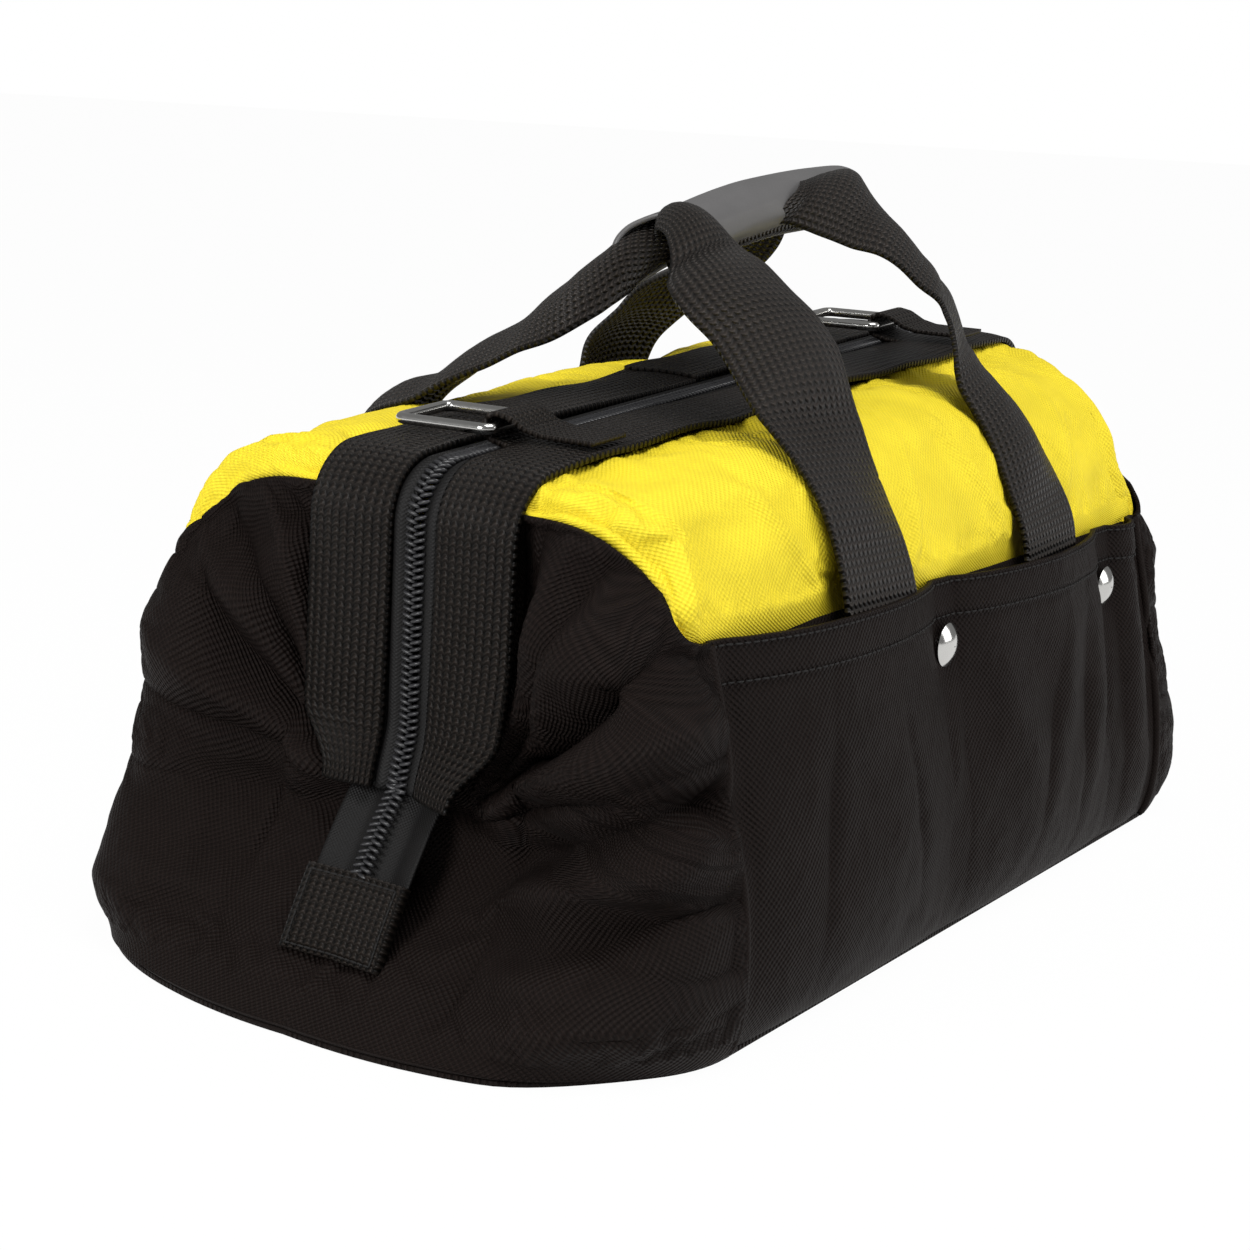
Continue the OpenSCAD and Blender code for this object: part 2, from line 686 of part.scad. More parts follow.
module ring_rear() { ring(1); }
module ring_front() { ring(-1); }

loop_r = wire_d / 2 + fit;
module ring_tab(end) {
  color(webbing)
    at_ridge(ridge_tilt)
      translate([end * ring_x - loop_w / 2, 0, 0])
        rotate([90, 0, 90])
          linear_extrude(loop_w)
            difference() {
              union() {
                translate([loop_y, ring_z]) circle(loop_r + loop_t);
                translate([-strip_out + loop_t, loop_foot])
                  square([strip_out - loop_t + loop_y, 2 * loop_t]);
              }
              translate([loop_y, ring_z]) circle(loop_r);
            }
}
module ring_tab_rear() { ring_tab(1); }
module ring_tab_front() { ring_tab(-1); }

// Sewn foot of a handle leg, lying on the yellow panel up to the fold line
fold_share = 0.42;
leg_rows = 6;
leg_cols = 4;
function col_u(x) = turn_share + (1 - 2 * turn_share) * (x + turn_x) / (2 * turn_x);
near_share = 0.01;
function top_dir(u, v) = unit(cross(
  top_point(u + near_share, v) - top_point(u - near_share, v),
  top_point(u, v + near_share) - top_point(u, v - near_share)));
leg_foot_share = 0.05;
module leg(x) {
  color(webbing)
    skin([for (i = [0:leg_cols]) [for (j = [0:leg_rows])
      let (
        u = col_u(x - web_w / 2 + web_w * i / leg_cols),
        v = mix(leg_foot_share, fold_share, j / leg_rows)
      ) top_point(u, v) + (fit + web_t) * top_dir(u, v)]], web_t);
}
module leg_near_front() { leg(-leg_gap / 2); }
module leg_near_rear() { leg(leg_gap / 2); }
module leg_far_front() { mirror([0, 1, 0]) leg(-leg_gap / 2); }
module leg_far_rear() { mirror([0, 1, 0]) leg(leg_gap / 2); }

// Free part of a handle. It is drawn on a sheet that rises from the line through
// its two legs' folds and leans in over the mouth. That line lies far enough
// outside the legs for the handle's lower edge to pass them.
fold_lift = 3 * fit + web_t + norm([fit, web_t / 2]);
function fold_at(u) = top_point(u, fold_share) + fold_lift * top_dir(u, fold_share);
fold_front = fold_at(col_u(-leg_gap / 2));
fold_rear = fold_at(col_u(leg_gap / 2));
fold_p = (fold_front + fold_rear) / 2;
fold_half = (fold_rear.x - fold_front.x) / 2;
fold_slope = (fold_rear - fold_p) / fold_half;
bundle_y = fit + bundle_t / 2;
grip_rise = grip_h - fold_p.z;
fold_a = 53;
lift_share = 0.75;
crest_share = 0.3;
sheet_pts = [
  [fold_p.y, fold_p.z],
  [fold_p.y, fold_p.z] + lift_share * grip_rise * [cos(fold_a), sin(fold_a)],
  [-bundle_y, grip_h - crest_share * grip_rise],
  [-bundle_y, grip_h]
];
function curve(t) = pow(1 - t, 3) * sheet_pts[0] + 3 * t * pow(1 - t, 2) * sheet_pts[1]
  + 3 * t * t * (1 - t) * sheet_pts[2] + pow(t, 3) * sheet_pts[3];
function curve_dir(t) = unit(
  3 * pow(1 - t, 2) * (sheet_pts[1] - sheet_pts[0]) + 6 * t * (1 - t) * (sheet_pts[2] - sheet_pts[1])
  + 3 * t * t * (sheet_pts[3] - sheet_pts[2]));
sheet_steps = 24;
sheet_cuts = [for (i = [1:sheet_steps]) norm(curve(i / sheet_steps) - curve((i - 1) / sheet_steps))];
sheet_len = sheet_cuts * [for (c = sheet_cuts) 1];
// Section of the handle at distance x from its middle and height h: w wide in
// the sheet, t thick, with its width turned by a from the X axis
function handle_ring(x, h, a, w, t) =
  let (
    up = h / sheet_len,
    p = curve(up),
    d = curve_dir(up),
    down = pow(1 - up, 2),
    c = [x + fold_p.x * down, p.x + x * fold_slope.y * down,
         p.y + x * (fold_slope.z * down + tan(grip_tilt) * up * up)],
    side = w / 2 * [cos(a), sin(a) * d.x, sin(a) * d.y],
    out = t / 2 * [0, -d.y, d.x]
  ) [c - side - out, c + side - out, c + side + out, c - side + out];
leg_steps = 12;
turn_steps = 6;
narrow_share = 0.45;
narrow_w = 2 * grip_turn - 2 * fit;
leg_top = sheet_len - grip_turn;
// Sections of one half as [x, h, a, w, t], from the fold line to the grip
half_sections = concat(
  [for (i = [0:leg_steps])
    let (t = i / leg_steps, s = ease((t - narrow_share) / (1 - narrow_share)))
    [mix(fold_half, leg_gap_top / 2, t), mix(fit, leg_top, t), 0, mix(web_w, narrow_w, s),
     mix(web_t, 2 * web_t, s)]],
  [for (i = [1:turn_steps])
    let (t = i / turn_steps, a = 90 * t)
    [leg_gap_top / 2 - grip_turn * (1 - cos(a)), leg_top + grip_turn * sin(a), a,
     mix(narrow_w, bundle_h, t), mix(2 * web_t, bundle_t, t)]]
);
module handle_near() {
  last = len(half_sections) - 1;
  rings = concat(
    [for (s = half_sections) handle_ring(-s[0], s[1], -s[2], s[3], s[4])],
    [for (i = [last:-1:0]) let (s = half_sections[i]) handle_ring(s[0], s[1], s[2] - 180, s[3], s[4])]
  );
  n = len(rings);
  color(webbing)
    polyhedron(
      [for (r = rings) each r],
      concat(
        [[0, 1, 2], [0, 2, 3]],
        [for (i = [0:n - 2], k = [0:3], h = [0, 1])
          let (a = 4 * i + k, b = 4 * i + (k + 1) % 4)
            h == 0 ? [a, a + 4, b + 4] : [a, b + 4, b]],
        [[4 * n - 4, 4 * n - 2, 4 * n - 3], [4 * n - 4, 4 * n - 1, 4 * n - 2]]
      )
    );
}
module handle_far() { mirror([0, 1, 0]) handle_near(); }

// Grip wrap: one strip of leather bent round both handles, open along its
// underside and wide open at both ends of it, where the legs come in
module grip_wrap() {
  half_y = bundle_t + 2 * fit;
  half_z = bundle_h / 2 + 2 * fit;
  legs_x = leg_gap_top / 2 - grip_turn - wrap_t;
  color(leather)
    translate([0, 0, grip_h])
      rotate([0, -grip_tilt, 0])
        difference() {
          rotate([90, 0, 90])
            linear_extrude(wrap_len, center = true)
              difference() {
                offset(wrap_t) square([2 * half_y, 2 * half_z], center = true);
                square([2 * half_y, 2 * half_z], center = true);
                translate([0, -half_z]) square([wrap_slit, 2 * wrap_t + over], center = true);
              }
          for (turn = [0, 180])
            rotate(turn)
              translate([legs_x, -2 * half_y, -2 * half_z]) cube([wrap_len, 4 * half_y, 3 / 2 * half_z]);
        }
}

base_panel();
base_board();
side_near();
side_far();
end_front();
end_rear();
top_near();
top_far();
pocket_near();
pocket_far();
rivets_near();
rivets_far();
end_web_front_near();
end_web_front_far();
end_web_rear_near();
end_web_rear_far();
zip_tape_front();
zip_tape_rear();
zip_coil_front();
zip_coil_rear();
mouth_web_near();
mouth_web_far();
mouth_tape_near();
mouth_tape_far();
mouth_coil_near();
mouth_coil_far();
tail_tape_front();
tail_coil_front();
tail_tab_front();
tail_tape_rear();
tail_tab_rear();
slider();
pull_tab();
ring_tab_front();
ring_tab_rear();
ring_front();
ring_rear();
handle_near();
handle_far();
leg_near_front();
leg_near_rear();
leg_far_front();
leg_far_rear();
grip_wrap();
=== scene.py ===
"""Soft wide-mouth tool bag, dressed piece by piece in the order in which it is sewn together."""
import math

import bmesh
import bpy
import numpy as np
from mathutils import Matrix, Vector, noise


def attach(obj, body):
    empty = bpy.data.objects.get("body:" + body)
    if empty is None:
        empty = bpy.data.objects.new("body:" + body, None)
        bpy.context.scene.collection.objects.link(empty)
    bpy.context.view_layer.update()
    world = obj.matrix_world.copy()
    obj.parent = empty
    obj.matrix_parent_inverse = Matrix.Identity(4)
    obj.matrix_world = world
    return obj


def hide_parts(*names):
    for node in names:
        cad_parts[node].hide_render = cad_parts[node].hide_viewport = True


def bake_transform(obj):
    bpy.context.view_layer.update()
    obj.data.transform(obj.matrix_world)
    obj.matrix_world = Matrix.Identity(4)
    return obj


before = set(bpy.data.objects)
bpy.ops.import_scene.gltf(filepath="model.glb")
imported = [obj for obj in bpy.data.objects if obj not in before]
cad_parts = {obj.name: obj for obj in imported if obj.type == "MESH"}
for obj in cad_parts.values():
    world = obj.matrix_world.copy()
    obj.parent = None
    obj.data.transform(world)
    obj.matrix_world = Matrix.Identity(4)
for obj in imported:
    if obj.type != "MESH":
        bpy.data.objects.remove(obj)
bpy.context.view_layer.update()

# --- The view -------------------------------------------------------------------------------
# A long lens looks down a little on the end with the loose zip tail and on the near side.
# The camera's sides are worked out from its turn, its lift and a slight roll.
CAMERA_AT = (-0.76806, -0.43322, 0.26644)
turn, lift, roll = (math.radians(a) for a in (-58.74, 11.63, 3.06))
back = Vector((math.sin(turn) * math.cos(lift), -math.cos(turn) * math.cos(lift), math.sin(lift)))
level = Vector((math.cos(turn), math.sin(turn), 0))
upright = back.cross(level)
right = level * math.cos(roll) + upright * math.sin(roll)
up = upright * math.cos(roll) - level * math.sin(roll)


def new_object(name, data):
    thing = bpy.data.objects.new(name, data)
    bpy.context.scene.collection.objects.link(thing)
    return thing


camera = new_object("camera", bpy.data.cameras.new("camera"))
camera.data.lens = 72
camera.data.clip_end = 50
camera.matrix_world = Matrix.Translation(CAMERA_AT) @ Matrix((right, up, back)).transposed().to_4x4()
bpy.context.scene.camera = camera


# --- The studio -----------------------------------------------------------------------------
# A pale floor under a white room. The room and the floor show white to the camera and in
# reflections, and the lamps stand where soft boxes would: over the bag and in front of its end.
def paint(code):
    """An sRGB hex value as a linear colour."""
    parts = [int(code[i:i + 2], 16) / 255 for i in (1, 3, 5)]
    return [p / 12.92 if p <= 0.04045 else ((p + 0.055) / 1.055) ** 2.4 for p in parts] + [1]


def add(tree, kind, links=None, **settings):
    """A node with its settings. Its inputs, by name or number, take a value, a socket to link,
    or another node, whose first output is linked."""
    node = tree.nodes.new(kind)
    for key, value in settings.items():
        setattr(node, key, value)
    for key, value in (links or {}).items():
        if isinstance(value, bpy.types.Node):
            value = value.outputs[0]
        if isinstance(value, bpy.types.NodeSocket):
            tree.links.new(value, node.inputs[key])
        else:
            node.inputs[key].default_value = value
    return node


def finish(name):
    """An empty node material and its tree."""
    material = bpy.data.materials.new(name)
    material.use_nodes = True
    material.node_tree.nodes.clear()
    return material, material.node_tree


FLOOR_SIZE = 30
floor_mesh = bpy.data.meshes.new("floor")
corners = ((-1, -1), (1, -1), (1, 1), (-1, 1))
floor_mesh.from_pydata([(x * FLOOR_SIZE, y * FLOOR_SIZE, -0.0002) for x, y in corners],
                       [], [(0, 1, 2, 3)])
floor = new_object("floor", floor_mesh)
white_paper, tree = finish("matt white paper")
rays = add(tree, "ShaderNodeLightPath")
seen = add(tree, "ShaderNodeMath", {0: rays.outputs["Is Camera Ray"], 1: rays.outputs["Is Glossy Ray"]},
           operation="MAXIMUM")
share = add(tree, "ShaderNodeMath", {0: seen, 1: 0.975}, operation="MULTIPLY")
matt = add(tree, "ShaderNodeBsdfDiffuse", {"Color": paint("#f4f4f4")})
glow = add(tree, "ShaderNodeEmission", {"Color": (1, 1, 1, 1), "Strength": 1.0})
both = add(tree, "ShaderNodeMixShader", {0: share, 1: matt, 2: glow})
add(tree, "ShaderNodeOutputMaterial", {0: both})
floor_mesh.materials.append(white_paper)

world = bpy.data.worlds.new("white room")
world.use_nodes = True
tree = world.node_tree
tree.nodes.clear()
rays = add(tree, "ShaderNodeLightPath")
seen = add(tree, "ShaderNodeMath",
           {0: rays.outputs["Is Camera Ray"], 1: rays.outputs["Is Transmission Ray"]}, operation="MAXIMUM")
room = add(tree, "ShaderNodeBackground", {0: (1, 1, 1, 1), 1: 0.24})
seen_room = add(tree, "ShaderNodeBackground", {0: (1, 1, 1, 1), 1: 1.0})
both = add(tree, "ShaderNodeMixShader", {0: seen, 1: room, 2: seen_room})
add(tree, "ShaderNodeOutputWorld", {0: both})
bpy.context.scene.world = world
bpy.context.scene.view_settings.view_transform = "Standard"

for name, at, size, power in (("softbox over", (-0.25, -0.5, 1.5), 0.9, 17),
                              ("softbox end", (-1.5, 0.35, 0.75), 0.7, 15),
                              ("softbox side", (0.7, -1.5, 0.65), 0.9, 8)):
    lamp = new_object(name, bpy.data.lights.new(name, "AREA"))
    lamp.data.size, lamp.data.energy = size, power
    lamp.location = at
    lamp.rotation_euler = (Vector((0, 0, 0.1)) - Vector(at)).to_track_quat("-Z", "Y").to_euler()


# --- Base board -----------------------------------------------------------------------------
# A stiffening board lies inside, on the flat panel of cloth that the bag stands on. It is moulded
# of grey plastic with a fine grain.
pvc_board, tree = finish("grey moulded board")
grain = add(tree, "ShaderNodeTexNoise", {"Scale": 400.0})
bump = add(tree, "ShaderNodeBump", {"Height": grain, "Strength": 0.2, "Distance": 0.0002})
shader = add(tree, "ShaderNodeBsdfPrincipled",
             {"Base Color": paint("#3a3a3b"), "Roughness": 0.6, "Normal": bump})
add(tree, "ShaderNodeOutputMaterial", {0: shader})


def dress(node, material):
    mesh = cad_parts[node].data
    mesh.materials.clear()
    mesh.materials.append(material)


dress("base_board", pvc_board)


# --- Ends -----------------------------------------------------------------------------------
# One D-shaped panel closes each end. It is fuller than it needs to be: beside the zip the
# spare cloth sinks into a deep fold, swells out again and is pinched at the corner seams.

# The cut of the sewn body in millimetres, as in the bag's solid parts
MM = 0.001
SEAM_X, BASE_W, RIM_W, BELLY, POCKET_H = 167, 214, 192, 10, 121
END_LIFT, END_FLARE, END_LOBE, LOBE_A = 6.5, 59, 25, 25
SIDE_FOOT, SLOT_FOOT, STRIP_FOOT, STRIP_IN, STRIP_OUT = 1.9, 54, 62, 9, 39
RIDGE_Z, RIDGE_TILT, TURN_R, FRONT_X = 174, 4.3, 20, 177.1
CLOTH, GAP, OVERLAP, SLOT_HALF, TIP_RISE = 1.6, 0.3, 5, 12, 9
SIDE_TOP, PANEL_X = POCKET_H - CLOTH, SEAM_X - GAP
ENDS, SIDES = ((-1, "front"), (1, "rear")), ((-1, "near"), (1, "far"))
CORNERS = [(end, side, word, where) for end, word in ENDS for side, where in SIDES]


def ease(t):
    t = np.clip(t, 0, 1)
    return t * t * (3 - 2 * t)


def hump(t, middle, reach):
    """A smooth bump of height 1."""
    return np.exp(-((t - middle) / reach) ** 2)


def crease(t):
    """A fold with a sharp crest of height 1."""
    return np.exp(0.387 - np.sqrt(t ** 2 + 0.15))


def half_w(z):
    s = np.clip(z / POCKET_H, 0, 1)
    return (BASE_W + (RIM_W - BASE_W) * z / POCKET_H) / 2 + BELLY * np.sin(np.pi * s ** 0.57)


def end_reach(z):
    share = np.clip(1 - np.maximum(0, z - SIDE_FOOT) / (SLOT_FOOT - SIDE_FOOT), 0, 1)
    return END_LIFT + END_FLARE * share ** 1.4


def turn_z(end):
    """Height of the middle of the turn from ridge to end."""
    b = math.radians(end * RIDGE_TILT)
    return RIDGE_Z + (FRONT_X - TURN_R) * math.tan(b) - TURN_R / math.cos(b)


def end_top(end, a, side=-1):
    """Height of the seam between an end and the yellow panels, at angle a round the end."""
    inner = math.sin(math.radians(LOBE_A))
    s = (np.abs(np.sin(np.radians(a))) - inner) / (1 - inner)
    tip = turn_z(end) + TIP_RISE
    return tip + (POCKET_H - tip) * np.clip(s, 0, 1) ** (2.1 if end > 0 else 3.2)


def fullness(end, side):
    """How far each half of an end swells beyond its seams, as a share of the cut's own swell."""
    return 0.6 if end < 0 < side else 1.0


def sway(p):
    """The front end is set a little askew: its near side stands out. Behind it nothing moves."""
    x, y = p[..., 0], p[..., 1]
    q = p.copy()
    q[..., 0] = x + np.where(y < 0, 0.12, 0) * y * ease((-x - 115) / 45) * (1 - ease((np.abs(y) - 66) / 36))
    return q


def ripple(p, size, seed):
    """Smooth noise from -1 to 1 at points p in millimetres, with features of that size."""
    q = p.reshape(-1, 3) / size + seed * 7.3
    return np.array([noise.noise(Vector(v)) for v in q]).reshape(p.shape[:-1])


def normals(p):
    n = np.cross(np.gradient(p, axis=0), np.gradient(p, axis=1))
    return n / np.maximum(1e-9, np.linalg.norm(n, axis=-1, keepdims=True))


def out_of(p, way):
    """A grid's normals on the side that faces way."""
    n = normals(p)
    return n * np.sign((n * way).sum())


def lengths(p, axis):
    """Distance along a path, or along a grid's rows or columns, as the weave's threads run."""
    step = np.linalg.norm(np.diff(p, axis=axis), axis=-1)
    lead = np.zeros_like(np.take(step, [0], axis=axis))
    return np.concatenate([lead, np.cumsum(step, axis=axis)], axis=axis)


SETTLE_FRAMES, MOST_MOVE = 12, 2.5


def at_length(line, s, at):
    """The points of a line at the distances at, where its own points lie at the distances s."""
    return np.stack([np.interp(at, s, column) for column in line.T], -1)


def slacken(piece, spare, low):
    """Cloth simulation: the cut gains a share of spare length and buckles between its sewn
    edges, and stays as it is below the height low. No point moves further than MOST_MOVE."""
    mesh = piece.data
    edges = bmesh.new()
    edges.from_mesh(mesh)
    sewn = [v.index for v in edges.verts if v.is_boundary or v.co.z < low * MM]
    edges.free()
    piece.vertex_groups.new(name="sewn").add(sewn, 1.0, "REPLACE")
    cloth = piece.modifiers.new("cloth", "CLOTH")
    cloth.settings.vertex_group_mass = "sewn"
    cloth.settings.shrink_min = cloth.settings.shrink_max = -spare
    cloth.settings.quality = 6
    cloth.settings.mass = 0.2
    cloth.settings.tension_stiffness = cloth.settings.compression_stiffness = 25
    cloth.settings.shear_stiffness = 8
    cloth.settings.bending_stiffness = 0.3
    cloth.settings.effector_weights.gravity = 0
    cloth.collision_settings.use_collision = False
    scene = bpy.context.scene
    for k in range(1, SETTLE_FRAMES + 1):
        scene.frame_set(k)
    view = bpy.context.evaluated_depsgraph_get()
    after = np.empty(len(mesh.vertices) * 3)
    piece.evaluated_get(view).data.vertices.foreach_get("co", after)
    before = np.empty_like(after)
    mesh.vertices.foreach_get("co", before)
    move = (after - before).reshape(-1, 3)
    length = np.linalg.norm(move, axis=1, keepdims=True)
    limit = MOST_MOVE * MM
    move *= limit * np.tanh(length / limit) / np.maximum(length, 1e-9)
    mesh.vertices.foreach_set("co", (before.reshape(-1, 3) + move).ravel())
    piece.modifiers.remove(cloth)
    piece.vertex_groups.clear()
    scene.frame_set(1)


def sheet_mesh(name, grids, material, thick=CLOTH, inward=True, uv=None, spare=0.0, low=8):
    """A mesh of one or more grids of points in millimetres, with a wall of that thickness."""
    verts, faces, maps, base = [], [], [], 0
    for k, p in enumerate(grids):
        nu, nv = p.shape[:2]
        verts.append(p.reshape(-1, 3) * MM)
        i, j = np.meshgrid(np.arange(nu - 1), np.arange(nv - 1), indexing="ij")
        a = (base + i * nv + j).ravel()
        quad = np.stack([a, a + nv, a + nv + 1, a + 1], 1)
        faces.append(quad if inward else quad[:, ::-1])
        u, v = (lengths(p, 0), lengths(p, 1)) if uv is None else uv[k]
        maps.append(np.stack([u, v], -1).reshape(-1, 2) * MM)
        base += nu * nv
    verts, faces, maps = np.concatenate(verts), np.concatenate(faces), np.concatenate(maps)
    mesh = bpy.data.meshes.new(name)
    mesh.from_pydata(verts.tolist(), [], faces.tolist())
    layer = mesh.uv_layers.new(name="weave")
    layer.data.foreach_set("uv", maps[faces.ravel()].ravel())
    mesh.materials.append(material)
    piece = new_object(name, mesh)
    clean = bmesh.new()
    clean.from_mesh(mesh)
    bmesh.ops.remove_doubles(clean, verts=clean.verts, dist=0.00002)
    clean.to_mesh(mesh)
    clean.free()
    if spare:
        slacken(piece, spare, low)
    if thick:
        wall = piece.modifiers.new("wall", "SOLIDIFY")
        wall.thickness, wall.offset = thick * MM, -1
        wall.use_even_offset = False
    return settle(piece)


def settle(piece):
    """Applies a piece's modifiers and smooths its shading."""
    view = bpy.context.evaluated_depsgraph_get()
    mesh = bpy.data.meshes.new_from_object(piece.evaluated_get(view), preserve_all_data_layers=True,
                                           depsgraph=view)
    piece.modifiers.clear()
    old, piece.data = piece.data, mesh
    mesh.name = old.name = piece.name
    bpy.data.meshes.remove(old)
    for polygon in mesh.polygons:
        polygon.use_smooth = True
    return piece


def coat(tree, code, value, height, depth, links):
    """The end of a finish: its relief in millimetres, its toned colour and one shader. For the woven and
    ribbed finishes the tone holds painted light and shade that follow the relief.
    """
    bump = add(tree, "ShaderNodeBump", {"Height": height, "Strength": 1.0, "Distance": depth * MM})
    colour = add(tree, "ShaderNodeHueSaturation", {"Color": paint(code), "Value": value})
    shader = add(tree, "ShaderNodeBsdfPrincipled", {"Base Color": colour, "Normal": bump, **links})
    add(tree, "ShaderNodeOutputMaterial", {0: shader})


def woven(name, code, pitch, depth, rough, sheen, painted_weave_light, gloss=0.12, slub=0.25):
    """Plain-woven cloth: threads of that pitch in millimetres cross over and under each other. Painted light
    and shade follow the weave: the colour is lighter on the thread crowns and darker between the threads.
    """
    material, tree = finish(name)
    uv = add(tree, "ShaderNodeUVMap", uv_map="weave")
    parts = add(tree, "ShaderNodeSeparateXYZ", {0: uv})
    rate = math.pi / (pitch * MM)
    waves = []
    for axis in (0, 1):
        angle = add(tree, "ShaderNodeMath", {0: parts.outputs[axis], 1: rate}, operation="MULTIPLY")
        waves.append(add(tree, "ShaderNodeMath", {0: angle}, operation="SINE"))
    cross = add(tree, "ShaderNodeMath", {0: waves[0], 1: waves[1]}, operation="MULTIPLY")
    cloud = add(tree, "ShaderNodeTexNoise", {"Vector": uv, "Scale": 900.0, "Detail": 3.0})
    rise = add(tree, "ShaderNodeMath", {0: cloud, 1: slub, 2: cross}, operation="MULTIPLY_ADD")
    patch = add(tree, "ShaderNodeTexNoise", {"Vector": uv, "Scale": 40.0, "Detail": 4.0})
    # Painted light and shade: the colour is lighter on the thread crowns and darker between the threads,
    # following the weave's relief.
    fade = add(tree, "ShaderNodeMapRange", {0: cross, 1: -1.0, 2: 1.0, 3: 1 - painted_weave_light, 4: 1 + painted_weave_light})
    worn = add(tree, "ShaderNodeMapRange", {0: patch, 1: 0.3, 2: 0.7, 3: 0.93, 4: 1.07})
    value = add(tree, "ShaderNodeMath", {0: fade, 1: worn}, operation="MULTIPLY")
    coat(tree, code, value, rise, depth,
         {"Roughness": rough, "Specular IOR Level": gloss, "Sheen Weight": sheen,
          "Sheen Roughness": 0.45, "Sheen Tint": paint(code)})
    return material


# Polyester pack cloth, dyed black: matt with a faint sheen on its thread crowns, with painted light on the
# crowns and painted shade between the threads. The real threads lie about 0.6 mm apart, too fine for the
# render, so they are drawn 1.05 mm apart.
black_cloth = woven("black woven polyester", "#191311", 1.05, 0.36, 0.58, 0.012, 0.4, gloss=0.07)


END_COLS, END_ROWS = 90, 100


def end_point(a, z, full=1.0):
    """A point of an end before its folds, at angle a round it and height z."""
    s = np.clip((a - LOBE_A) / (90 - LOBE_A), 0, 1)
    fall = (RIDGE_Z - POCKET_H) * 0.6
    fade = 1 - ease((z - POCKET_H + fall / 3) / fall)
    lobe = full * END_LOBE * np.sin(np.pi * s) * ease(z / 20) * fade
    out = SEAM_X + end_reach(z) * np.cos(np.radians(a)) + lobe
    return np.stack([out, half_w(z) * np.sin(np.radians(a)), z + 0 * a], -1)


def end_sheet(end, side, seed):
    """Half an end panel; side is -1 for near and 1 for far. Rows run from floor to top edge."""
    t = np.linspace(0, 1, END_COLS)[:, None]
    r = np.linspace(0, 1, END_ROWS)[None, :]
    slot_top = math.degrees(math.asin(SLOT_HALF / half_w(turn_z(end))))
    tops = end_top(end, slot_top + (90 - slot_top) * t, side)
    z = SIDE_FOOT + (tops - SIDE_FOOT) * r ** 1.15
    slot = np.degrees(np.arcsin(SLOT_HALF * ease((z - SLOT_FOOT) / 8) / half_w(z)))
    a = slot + (90 - slot) * t
    low = ease(z / 20)
    p = end_point(a, z, fullness(end, side))
    y = p[..., 1]
    n = out_of(p, (1, 0, 0))
    # Folds that fan out from the foot of the strip: a deep one slants to the yellow edge,
    # and sharp smaller ones stand beside the strip
    fan = np.degrees(np.arctan2(y - 22, z - 56))
    far_out = np.hypot(z - 56, y - 22)
    seen = side < 0 and end < 0
    big = 1 if seen else 0.45
    d = 0
    for deep, at, wide in ((-7, 11, 4), (-4.5, 18, 2.6), (4, 24, 3), (-6, 31, 3), (4.5, 38, 3),
                           (-17 * big, 47 if side < 0 else 41, 5.5), (8 * big, 59, 6), (-4 * big, 71, 3)):
        bend = at + 2.5 * np.sin(far_out / 17 + at + seed)
        d = d + deep * crease((fan - bend) / wide)
    d = d * ease((far_out - 4) / 22) * ease((106 - far_out) / 24) * ease((z - 50) / 12)
    # Broad fold from the corner seam towards the tail, and creases under it
    far = 1 if seen else 0.12
    slope = z - 58 - 0.42 * (y - 95)
    d = d + far * 7.5 * hump(slope, 0, 7) * ease((y - 34) / 30) * ease((112 - y) / 14)
    d = d - far * (7 * hump(slope, 15, 6) * ease((y - 40) / 24) + 3 * hump(slope, -14, 5) * hump(y, 84, 22))
    # The cloth rolls forward over the strip's foot, and lies back behind the loose tail
    d = d + 7 * hump(y, 40, 9) * hump(z, 60, 10) - 5 * hump(y, 0, 20) * hump(z, 34, 16)
    low_fold = z - 26 - 0.18 * (y - 60) - 3 * np.sin(y / 17)
    d = d + 2.2 * hump(low_fold, 0, 5) * hump(y, 62, 26) - 1.6 * hump(low_fold, -8, 4) * hump(y, 66, 24)
    # Pinch where the corner seam is drawn in
    d = d - far * 4.5 * hump(z, 72, 8) * hump(a, 90, 11)
    # Short sharp creases that run in from the corner seam and from the floor
    for high, reach, steep, deep in ((88, 24, 0.5, 2.2), (47, 30, 0.2, 2.6),
                                     (33, 26, -0.25, 2.2), (17, 34, 0.1, 1.6)):
        line = (z - high - steep * (y - 100)) / 3.2
        d = d - far * deep * crease(line) * hump(y, 96, reach) * ease((a - 40) / 20)
    p2 = p * [end, side, 1]
    d = d + (0.6 + 0.9 * big) * ripple(p2, 34, seed) * low + 0.7 * ripple(p2, 14, seed + 3) * low
    d = d + 0.25 * ripple(p2, 6, seed + 5)
    d = d * ease((tops - z) / 5 + 0.15) * ease((z - 1.5) / 12) * ease((90.5 - a) / 5) * ease((a - slot) / 3)
    p = p + n * d[..., None]
    return sway(p * [end, side, 1])


def fixed_to(body, piece, node=None):
    """Moves with one body, in place of the piece's CAD node if it has one."""
    if node:
        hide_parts(node)
    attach(piece, body)


for end, word in ENDS:
    halves = {side: end_sheet(end, side, 2 + end + side * 0.5) for side in (-1, 1)}
    panel = sheet_mesh("end_cloth_" + word, [halves[-1], halves[1][::-1]], black_cloth,
                       inward=end > 0, spare=0.025)
    fixed_to("bag", panel, "end_" + word)


# --- Outer pockets --------------------------------------------------------------------------
# A sheet of the black cloth over each side panel, sewn in at the corner seams and the floor
# and riveted at two places, so that it stands off between them. Its top edge is a folded hem.
SIDE_BULGE, POCKET_GAP, HEM_H, HEM_T = 4, 10, 14, 1
DIVIDERS = (-22, 125)
SEAT = 7.75


def side_y(x, z):
    return (half_w(z) - CLOTH - GAP
            + SIDE_BULGE * (1 - (x / SEAM_X) ** 2) * np.sqrt(np.clip(z / POCKET_H, 0, 1)))


